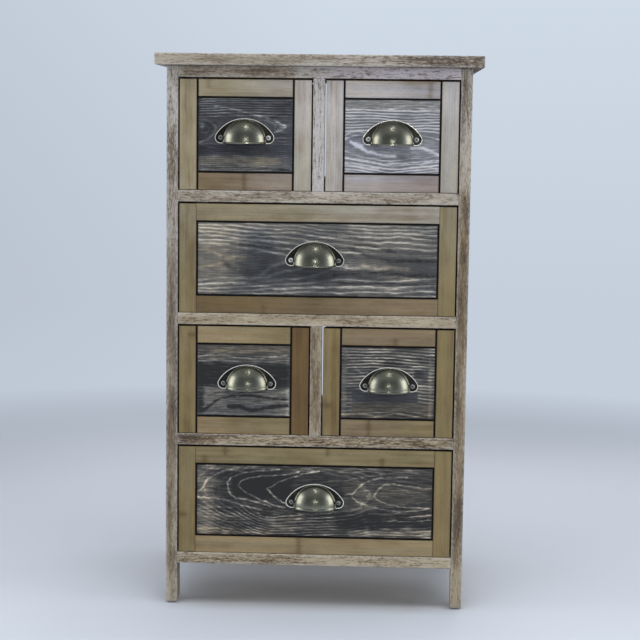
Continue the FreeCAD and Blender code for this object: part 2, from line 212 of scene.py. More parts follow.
def along_points(points, place):
    """The value at a place between (place, value) points, eased between them."""
    if place <= points[0][0]:
        return points[0][1]
    for (start, first), (end, second) in zip(points, points[1:]):
        if place <= end:
            share = smooth(place, start, end) * 0.5 + (place - start) / (end - start) * 0.5
            return first + (second - first) * share
    return points[-1][1]


def fade(axis, start, end, first, last):
    """A look that goes from its first value to its last between two places along an axis."""
    return lambda point: first + (last - first) * smooth(point[axis], start * MM, end * MM)


def steps_along(axis, points):
    """A look that goes through (place, value) points along an axis."""
    return lambda point: along_points(points, point[axis] / MM)


def solids_of(node):
    """The corners of every separate piece in a node of the frame."""
    mesh = bmesh.new()
    mesh.from_mesh(frame["nodes"][node].data)
    bmesh.ops.remove_doubles(mesh, verts=mesh.verts, dist=WELD)
    left = set(mesh.verts)
    corners = []
    while left:
        seed = left.pop()
        island = [seed]
        waiting = [seed]
        while waiting:
            for edge in waiting.pop().link_edges:
                for vert in edge.verts:
                    if vert in left:
                        left.remove(vert)
                        island.append(vert)
                        waiting.append(vert)
        low = Vector([min(vert.co[axis] for vert in island) for axis in (X, Y, Z)])
        high = Vector([max(vert.co[axis] for vert in island) for axis in (X, Y, Z)])
        corners.append((low, high))
    mesh.free()
    return sorted(corners, key=lambda pair: tuple(round(value, 4) for value in pair[0]))


def body_of(node):
    return frame["nodes"][node]["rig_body"]


def placed(name, data):
    """A new object in the scene, at the origin."""
    made = bpy.data.objects.new(name, data)
    bpy.context.scene.collection.objects.link(made)
    return made


def mesh_data(name, mesh, material):
    """Turn a bmesh into smooth mesh data with its material."""
    for face in mesh.faces:
        face.smooth = True
    data = bpy.data.meshes.new(name)
    mesh.to_mesh(data)
    mesh.free()
    data.materials.append(material)
    return data


def finished(name, mesh, node, material, sharp_angle=math.radians(40)):
    """Turn a bmesh into a piece that stands for a node of the frame and rides with it."""
    bmesh.ops.recalc_face_normals(mesh, faces=mesh.faces)
    data = mesh_data(name, mesh, material)
    data.set_sharp_from_angle(angle=sharp_angle)
    piece = placed(name, data)
    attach(piece, body_of(node))
    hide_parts(node)


def paint(mesh, name, look):
    """Keep one number on every point of a mesh, for its material. A look is a number or a function."""
    layer = mesh.verts.layers.float.new(name)
    for vert in mesh.verts:
        vert[layer] = look(vert.co) if callable(look) else look


def paint_colour(mesh, name, colour_at):
    layer = mesh.verts.layers.float_color.new(name)
    for vert in mesh.verts:
        vert[layer] = colour_at(vert.co)


def cut(mesh, place, across, nearest=WELD):
    """Cut a mesh by a plane, and keep both sides."""
    bmesh.ops.bisect_plane(
        mesh, geom=mesh.verts[:] + mesh.edges[:] + mesh.faces[:], dist=nearest, plane_co=place,
        plane_no=across,
    )


def points_in(items):
    return [item for item in items if isinstance(item, bmesh.types.BMVert)]


# Boards

EASE_SEGMENTS = 3
WEAR_SCALE = 60
DEFAULT_ALONG = 9 * MM
DEFAULT_ACROSS = 6 * MM
SMALL_EASE = 0.8 * MM
FACE_EASE = 0.7 * MM
THIN_EASE = 0.4 * MM


def edge_distance(point, low, high):
    """How far a point on a board's surface is from the nearest edge."""
    gaps = sorted(min(point[axis] - low[axis], high[axis] - point[axis]) for axis in (X, Y, Z))
    return gaps[1]


def cell_places(span, cell, ease):
    """Where a board is cut along one axis: at every cell, and close to its two eased edges."""
    count = max(1, round(span / cell))
    places = [span * step / count for step in range(1, count)] + [2 * ease, span - 2 * ease]
    return [place for place in sorted(places) if 1.3 * ease < place < span - 1.3 * ease]


def wear_back(mesh, low, high, ease, wear, seed):
    """Push the edges of a board inwards, unevenly and never along its grain."""
    middle = (low + high) / 2
    longest = max((X, Y, Z), key=lambda axis: high[axis] - low[axis])
    for vert in mesh.verts:
        closeness = 1 - smooth(edge_distance(vert.co, low, high), 0, 3 * ease)
        if closeness > 0:
            place = vert.co * WEAR_SCALE + Vector((seed, 2 * seed, 3 * seed))
            rough = 0.5 + 0.5 * noise.noise(place) + 0.35 * noise.noise(place * 4)
            inward = middle - vert.co
            inward[longest] = 0
            if inward.length > 0:
                vert.co += inward.normalized() * wear * closeness * clamp(rough) ** 2


def board(low, high, ease, cells, wear, seed):
    """A board between two corners, its edges rounded and then worn back unevenly."""
    mesh = bmesh.new()
    bmesh.ops.create_cube(mesh, size=1)
    bmesh.ops.scale(mesh, vec=high - low, verts=mesh.verts)
    bmesh.ops.translate(mesh, vec=(low + high) / 2, verts=mesh.verts)
    bmesh.ops.bevel(
        mesh, geom=mesh.edges[:], offset=ease, offset_type="OFFSET", segments=EASE_SEGMENTS, profile=0.5,
        affect="EDGES", material=-1,
    )
    for axis in (X, Y, Z):
        for place in cell_places(high[axis] - low[axis], cells[axis], ease):
            cut(mesh, low + AXES[axis] * place, AXES[axis])
    mesh.normal_update()
    wear_back(mesh, low, high, ease, wear, seed)
    paint(mesh, "wear", lambda point: 1 - smooth(edge_distance(point, low, high), 0.3 * ease, 3.5 * ease))
    paint(mesh, "seed", seed)
    return mesh


def cells_for(low, high, along, across):
    """The sizes of a board's mesh cells: long ones along the grain and short ones across it."""
    spans = high - low
    longest = max((X, Y, Z), key=lambda axis: spans[axis])
    return [along if axis == longest else across for axis in (X, Y, Z)]


# What the frame's wood reads on every point: how pale and how warm it is, and how strong its fine grain
PLAIN_LOOKS = {"tone": 0.0, "warmth": fade(Z, 450, 700, 1, 0), "crisp": 0.6}


def make_boards(
    node, material, ease, wear, along=DEFAULT_ALONG, across=DEFAULT_ACROSS, looks=None,
    first_seed=1.0, solids=None,
):
    """Rebuild every board of a node of the frame."""
    solids = solids or solids_of(node)
    painted = {**PLAIN_LOOKS, **(looks or {})}
    for index, (low, high) in enumerate(solids):
        seed = first_seed + 1.7 * index
        mesh = board(low, high, ease, cells_for(low, high, along, across), wear, seed)
        for name, look in painted.items():
            paint(mesh, name, look)
        name = node + "_board" if len(solids) == 1 else "%s_board_%d" % (node, index + 1)
        finished(name, mesh, node, material)


# Materials

class Finish:
    """One material and short calls for the nodes that make it."""

    def __init__(self, name):
        self.material = bpy.data.materials.new(name)
        self.material.use_nodes = True
        self.tree = self.material.node_tree
        self.tree.nodes.clear()
        self.shader = self.node("ShaderNodeBsdfPrincipled")
        self.output = self.node("ShaderNodeOutputMaterial")
        self.feed(self.output.inputs["Surface"], self.shader.outputs["BSDF"])

    def node(self, kind, **options):
        made = self.tree.nodes.new(kind)
        for option, value in options.items():
            setattr(made, option, value)
        return made

    def feed(self, socket, value):
        if isinstance(value, bpy.types.NodeSocket):
            self.tree.links.new(value, socket)
        else:
            socket.default_value = value

    def filled(self, kind, values, **options):
        """A new node, its first sockets fed with values in order."""
        made = self.node(kind, **options)
        for socket, value in zip(made.inputs, values):
            self.feed(socket, value)
        return made

    def places(self):
        return self.node("ShaderNodeTexCoord").outputs["Object"]

    def parts(self, vector):
        return self.filled("ShaderNodeSeparateXYZ", (vector,)).outputs

    def value(self, name):
        return self.node("ShaderNodeAttribute", attribute_name=name).outputs["Fac"]

    def colour(self, name):
        return self.node("ShaderNodeAttribute", attribute_name=name).outputs["Color"]

    def reckon(self, operation, *values):
        return self.filled("ShaderNodeMath", values, operation=operation).outputs[0]

    def times(self, first, second):
        return self.reckon("MULTIPLY", first, second)

    def total(self, *parts, start=0.0):
        """Start plus every pattern times its weight."""
        made = start
        for pattern, weight in parts:
            made = self.reckon("MULTIPLY_ADD", pattern, weight, made)
        return made

    def swing(self, *parts, start=0.0):
        """Start plus every pattern times its weight, with 0.5 taken as the middle of each pattern."""
        return self.total(*parts, start=start - 0.5 * sum(weight for pattern, weight in parts))

    def vector(self, operation, *values):
        return self.filled("ShaderNodeVectorMath", values, operation=operation).outputs[0]

    def noise(self, vector, scale, detail=3.0, roughness=0.55, distortion=0.0, output="Fac"):
        made = self.node("ShaderNodeTexNoise")
        self.feed(made.inputs["Vector"], vector)
        for socket, value in (
            ("Scale", scale), ("Detail", detail), ("Roughness", roughness), ("Distortion", distortion),
        ):
            made.inputs[socket].default_value = value
        return made.outputs[output]

    def grain(self, places, axis, along, scale, **options):
        """Noise that is drawn out along one axis, where its scale is lower by a share."""
        made = self.node("ShaderNodeMapping")
        self.feed(made.inputs["Vector"], places)
        made.inputs["Scale"].default_value = [along if index == axis else 1.0 for index in (X, Y, Z)]
        return self.noise(made.outputs[0], scale, **options)

    def ramp(self, factor, *stops):
        """Colours at places from 0 to 1."""
        made = self.node("ShaderNodeValToRGB")
        self.feed(made.inputs["Fac"], factor)
        elements = made.color_ramp.elements
        elements[0].position = stops[0][0]
        elements[-1].position = stops[-1][0]
        elements[0].color = stops[0][1]
        elements[-1].color = stops[-1][1]
        for place, colour in stops[1:-1]:
            elements.new(place).color = colour
        return made.outputs["Color"]

    def spread(self, value, low, high, start=0.0, end=1.0):
        """From start to end while a value goes from low to high."""
        made = self.filled("ShaderNodeMapRange", (value, low, high, start, end), clamp=True)
        return made.outputs[0]

    def held(self, value):
        """The value, kept between 0 and 1."""
        return self.spread(value, 0.0, 1.0)

    def mix(self, share, first, second, blend="MIX"):
        made = self.node("ShaderNodeMix", data_type="RGBA", blend_type=blend)
        self.feed(made.inputs["Factor"], share)
        colours = [socket for socket in made.inputs if socket.type == "RGBA"]
        for socket, colour in zip(colours, (first, second)):
            self.feed(socket, colour)
        return [socket for socket in made.outputs if socket.type == "RGBA"][0]

    def tinted(self, share, colour, tint):
        return self.mix(share, colour, tint, "MULTIPLY")

    def bump(self, height, distance, strength=1.0):
        made = self.node("ShaderNodeBump")
        self.feed(made.inputs["Height"], height)
        made.inputs["Distance"].default_value = distance
        made.inputs["Strength"].default_value = strength
        return made.outputs[0]

    def end(self, **sockets):
        for name, value in sockets.items():
            self.feed(self.shader.inputs[name.replace("_", " ")], value)
        return self.material


def seeded_places(finish):
    """Object coordinates, shifted by a number of its own on every board."""
    seed = finish.value("seed")
    shifts = [finish.times(seed, share) for share in (0.37, 0.61, 0.83)]
    return finish.vector("ADD", finish.places(), finish.filled("ShaderNodeCombineXYZ", shifts).outputs[0])


def curly(finish, places, axis, size, amount):
    """Bend the grain sideways in slow curls."""
    soft = finish.grain(places, axis, 0.35, scale=1 / size, detail=2.0, output="Color")
    bend = finish.vector("SUBTRACT", soft, (0.5, 0.5, 0.5))
    sideways = tuple(0.0 if index == axis else amount for index in (X, Y, Z))
    return finish.vector("MULTIPLY_ADD", bend, sideways, places)


def frame_wood(name, axis, curl):
    """Limewashed paulownia: brown and pale streaks, lime in the pores and on the worn edges."""
    wood = bpy.context.scene.chest_wood
    warm_tint = (0.88, 0.785, 0.60, 1)
    cool_tint = (0.99, 0.96, 1.10, 1)
    finish = Finish(name)
    bent = curly(finish, seeded_places(finish), axis, 60 * MM, curl)
    broad = finish.grain(bent, axis, 0.22, scale=50, detail=2.0)
    streaks = finish.grain(bent, axis, 0.11, scale=400, detail=4.0, roughness=0.7)
    fibres = finish.grain(bent, axis, 0.08, scale=900, roughness=0.7)
    mottle = finish.grain(bent, axis, 0.35, scale=520, detail=4.0, roughness=0.7)
    crisp = finish.value("crisp")
    fine = finish.times(finish.swing((streaks, 1.0), (fibres, 0.6), (mottle, 0.9)), crisp)
    level = finish.swing((broad, 1.26), start=0.495)
    level = finish.held(finish.total((fine, 1.4), (finish.value("tone"), 0.7), start=level))
    wooden = finish.ramp(
        level, (0.05, linear(wood.dark)), (0.34, linear(wood.brown)), (0.58, linear(wood.pale)),
        (0.95, linear(wood.lime)),
    )
    few = finish.reckon("MINIMUM", crisp, 1.0)
    flecks = finish.spread(finish.times(fibres, mottle), 0.30, 0.42, 0.0, 0.45)
    wooden = finish.mix(finish.times(flecks, few), wooden, linear(wood.lime))
    pits = finish.spread(finish.times(mottle, streaks), 0.14, 0.21, 0.75, 0.0)
    wooden = finish.mix(finish.times(pits, few), wooden, linear(wood.dark))
    warmth = finish.value("warmth")
    wooden = finish.tinted(finish.held(warmth), wooden, warm_tint)
    wooden = finish.tinted(finish.spread(warmth, -1.0, 0.0, 1.0, 0.0), wooden, cool_tint)
    rubbed = finish.times(finish.value("wear"), finish.spread(mottle, 0.4, 0.62, 0.1, 0.6))
    wooden = finish.mix(rubbed, wooden, linear(wood.lime))
    relief = finish.total((streaks, 0.7), (fibres, 0.6))
    return finish.end(
        Base_Color=wooden, Roughness=finish.spread(level, 0, 1, 0.78, 0.6),
        Normal=finish.bump(relief, 0.35 * MM),
    )


def bamboo(name, axis):
    """Laminated bamboo: long straight fibres in soft bands, with a line at every node."""
    dark_tint = (0.62, 0.54, 0.43, 1)
    light_tint = (1.38, 1.39, 1.42, 1)
    finish = Finish(name)
    places = seeded_places(finish)
    bands = finish.grain(places, axis, 0.04, scale=120, detail=2.0, roughness=0.5)
    fibres = finish.grain(places, axis, 0.03, scale=650, roughness=0.6)
    cloud = finish.grain(places, axis, 0.5, scale=45)
    shade = finish.colour("shade")
    dark = finish.tinted(1.0, shade, dark_tint)
    light = finish.tinted(1.0, shade, light_tint)
    level = finish.swing((bands, 0.8), (fibres, 0.55), (cloud, 0.9), start=0.5)
    level = finish.held(finish.total((finish.value("tone"), 0.6), start=level))
    wooden = finish.mix(finish.spread(level, 0.1, 0.5), dark, shade)
    wooden = finish.mix(finish.spread(level, 0.5, 1.0), wooden, light)
    edge = finish.times(finish.value("wear"), finish.spread(cloud, 0.35, 0.65, 0.05, 0.35))
    wooden = finish.mix(edge, wooden, dark)
    speckle = finish.noise(places, 420, detail=2.0)
    pores = finish.spread(finish.times(fibres, speckle), 0.15, 0.22, 0.3, 0.0)
    wooden = finish.mix(pores, wooden, dark)
    # Painted shade: the strip's sides and ends are painted black, so the gaps around the face look dark
    wooden = finish.mix(finish.value("black_side"), wooden, linear(bpy.context.scene.chest_wood.black))
    return finish.end(
        Base_Color=wooden, Roughness=finish.spread(level, 0, 1, 0.62, 0.48),
        Normal=finish.bump(fibres, 0.15 * MM),
    )


def growth_lines(finish, places):
    """Lines of lime where the painted rings change over, ragged, broken and of uneven strength."""
    slip = finish.grain(places, X, 0.3, scale=260, roughness=0.6)
    ragged = finish.spread(finish.value("brushing"), 0.3, 1.3, 0.15, 0.55)
    rings = finish.total((finish.swing((slip, 1.0)), ragged), start=finish.value("rings"))
    share = finish.reckon("FRACT", rings)
    edge = finish.reckon("ABSOLUTE", finish.swing((share, 2.0)))
    line = finish.reckon("POWER", edge, finish.value("sharpness"))
    patchy = finish.grain(places, X, 0.3, scale=75)
    line = finish.times(line, finish.spread(patchy, 0.34, 0.62, 0.45, 1.25))
    return finish.times(line, finish.value("lines"))


def limed_panel(name):
    """Dark stained, brushed softwood with lime rubbed into its grain."""
    face = bpy.context.scene.chest_face
    warm_tint = (1.18, 1.0, 0.74, 1)
    cool_tint = (0.93, 0.95, 1.22, 1)
    finish = Finish(name)
    places = seeded_places(finish)
    line = growth_lines(finish, places)
    fibres = finish.grain(places, X, 0.07, scale=740, detail=4.0, roughness=0.7)
    dashes = finish.spread(fibres, 0.52, 0.68)
    chatter = finish.grain(places, Z, 0.03, scale=420, detail=2.0)
    cloud = finish.grain(places, X, 0.35, scale=38)
    level = finish.swing((chatter, 0.10), (cloud, 0.5), start=0.22)
    level = finish.total((finish.swing((fibres, 1.0)), finish.value("brushing")), start=level)
    level = finish.total((finish.value("tone"), 1.0), (line, 0.55), (dashes, 0.08), start=level)
    level = finish.held(level)
    stain = finish.ramp(
        level, (0.0, linear(face.panel_black)), (0.3, linear(face.panel_slate)),
        (0.6, linear(face.panel_grey)), (1.0, linear(face.panel_lime)),
    )
    warmth = finish.total((finish.value("warmth"), 1.0), start=finish.swing((cloud, 0.8)))
    stain = finish.tinted(finish.held(warmth), stain, warm_tint)
    stain = finish.tinted(finish.spread(warmth, -1.0, 0.0, 0.75, 0.0), stain, cool_tint)
    # Painted shade: the panel's eased border is painted black where it meets the groove around it
    stain = finish.mix(finish.value("black_side"), stain, linear(face.panel_black))
    relief = finish.total((line, -0.5), (fibres, 0.5))
    return finish.end(
        Base_Color=stain, Roughness=finish.spread(level, 0, 1, 0.55, 0.75),
        Normal=finish.bump(relief, 0.3 * MM),
    )


def black_board(name):
    """Board stained black, a little browner along its fibres."""
    wood = bpy.context.scene.chest_wood
    finish = Finish(name)
    places = seeded_places(finish)
    fibres = finish.grain(places, X, 0.06, scale=800, roughness=0.6)
    dust = finish.noise(places, 160)
    brown = finish.spread(fibres, 0.4, 0.8, 0.0, 0.35)
    return finish.end(
        Base_Color=finish.mix(brown, linear(wood.black), linear(wood.dark)),
        Roughness=finish.spread(dust, 0.3, 0.7, 0.6, 0.85), Normal=finish.bump(fibres, 0.2 * MM),
    )


def plain_wood(name, axis, lightness=1.0):
    """Unfinished light wood of the drawer boxes and runners."""
    wood = bpy.context.scene.chest_wood
    finish = Finish(name)
    bent = curly(finish, seeded_places(finish), axis, 90 * MM, 6 * MM)
    rings = finish.grain(bent, axis, 0.05, scale=120, roughness=0.5, distortion=0.6)
    fibres = finish.grain(bent, axis, 0.03, scale=900, roughness=0.65)
    level = finish.spread(finish.total((rings, 0.8), (fibres, 0.35)), 0.42, 0.72)
    pale = shaded(linear(wood.plain), lightness)
    return finish.end(
        Base_Color=finish.mix(level, linear(wood.plain_dark), pale),
        Roughness=finish.spread(fibres, 0.3, 0.7, 0.6, 0.75), Normal=finish.bump(fibres, 0.2 * MM),
    )


def aged_bronze(name):
    """Antique bronze: polished on the rim and the sides of the cup, dark in the recesses."""
    pull = bpy.context.scene.chest_pull
    finish = Finish(name)
    places = finish.places()
    cloud = finish.noise(places, 90, detail=4.0, roughness=0.6)
    specks = finish.noise(places, 900, roughness=0.6)
    shine = finish.swing((cloud, 0.35), (specks, 0.2))
    shine = finish.total((finish.value("polish"), 1.0), start=shine)
    metal = finish.mix(finish.spread(shine, 0.05, 0.7), linear(pull.patina), linear(pull.bronze))
    rubbed = finish.spread(shine, 0.85, 1.1)
    metal = finish.mix(rubbed, metal, linear(pull.rim))
    relief = finish.total((specks, 0.4), (cloud, 1.0))
    return finish.end(
        Base_Color=metal, Roughness=finish.spread(shine, 0.0, 1.0, 0.38, 0.20),
        Metallic=finish.total((rubbed, -0.6), start=1.0), Normal=finish.bump(relief, 0.10 * MM, 0.5),
    )


def screw_steel(name):
    """Steel with a painted highlight: bright where its painted glint is strong, dark and dull elsewhere."""
    # Painted shade: the near black of a screw head away from its painted highlight
    painted_dark_steel = (0.02, 0.02, 0.018, 1)
    finish = Finish(name)
    places = finish.places()
    scratches = finish.grain(places, Z, 0.15, scale=2500, detail=2.0)
    cloud = finish.noise(places, 500, detail=2.0)
    # On the screws this value is a painted highlight; on the pulls it is their real polish
    polish = finish.held(finish.value("polish"))
    metal = finish.mix(polish, painted_dark_steel, linear(bpy.context.scene.chest_pull.steel))
    return finish.end(
        Base_Color=metal, Roughness=finish.spread(cloud, 0.3, 0.7, 0.25, 0.4),
        Metallic=finish.total((polish, -0.65), start=1.0), Normal=finish.bump(scratches, 0.03 * MM),
    )


def glide_plastic(name):
    """Black moulded plastic with a dull bloom."""
    black = (0.012, 0.011, 0.010, 1)
    bloom = (0.05, 0.046, 0.042, 1)
    finish = Finish(name)
    cloud = finish.noise(finish.places(), 800)
    share = finish.spread(cloud, 0.3, 0.7)
    return finish.end(
        Base_Color=finish.mix(share, black, bloom), Roughness=finish.spread(cloud, 0.3, 0.7, 0.45, 0.65),
        Normal=finish.bump(cloud, 0.05 * MM),
    )


def material(name, maker, *choices):
    """A finish that is made once and then shared. The frame's own materials have the plain names."""
    full_name = name + "_finish"
    return bpy.data.materials.get(full_name) or maker(full_name, *choices)


def upright_wood():
    return material("frame_wood_upright", frame_wood, Z, 7 * MM)


def level_wood():
    return material("frame_wood_level", frame_wood, X, 16 * MM)


def side_wood():
    return material("frame_wood_side", frame_wood, Y, 8 * MM)


def top_wood():
    return material("frame_wood_top", frame_wood, X, 26 * MM)


# Limed panels

# How the grain of one panel runs, in millimetres from the panel's middle. Heart and depth say where the
# middle of the growth rings lies, above or below and behind the face, from left to right; radii are the
# first rings and gap the space between the others; patches are places rubbed paler or left dark, and veins
# are single lines of lime or of dark stain.
Figure = namedtuple("Figure", "heart depth radii gap line lines tone warmth sway brushing patches veins")
Patch = namedtuple("Patch", "left right low high tone warmth lines brushing soft",
                   defaults=(0.0, 0.0, 1.0, 1.0, 3.0))
Vein = namedtuple("Vein", "points tone width warmth", defaults=(0.45, 0.9, 0.0))

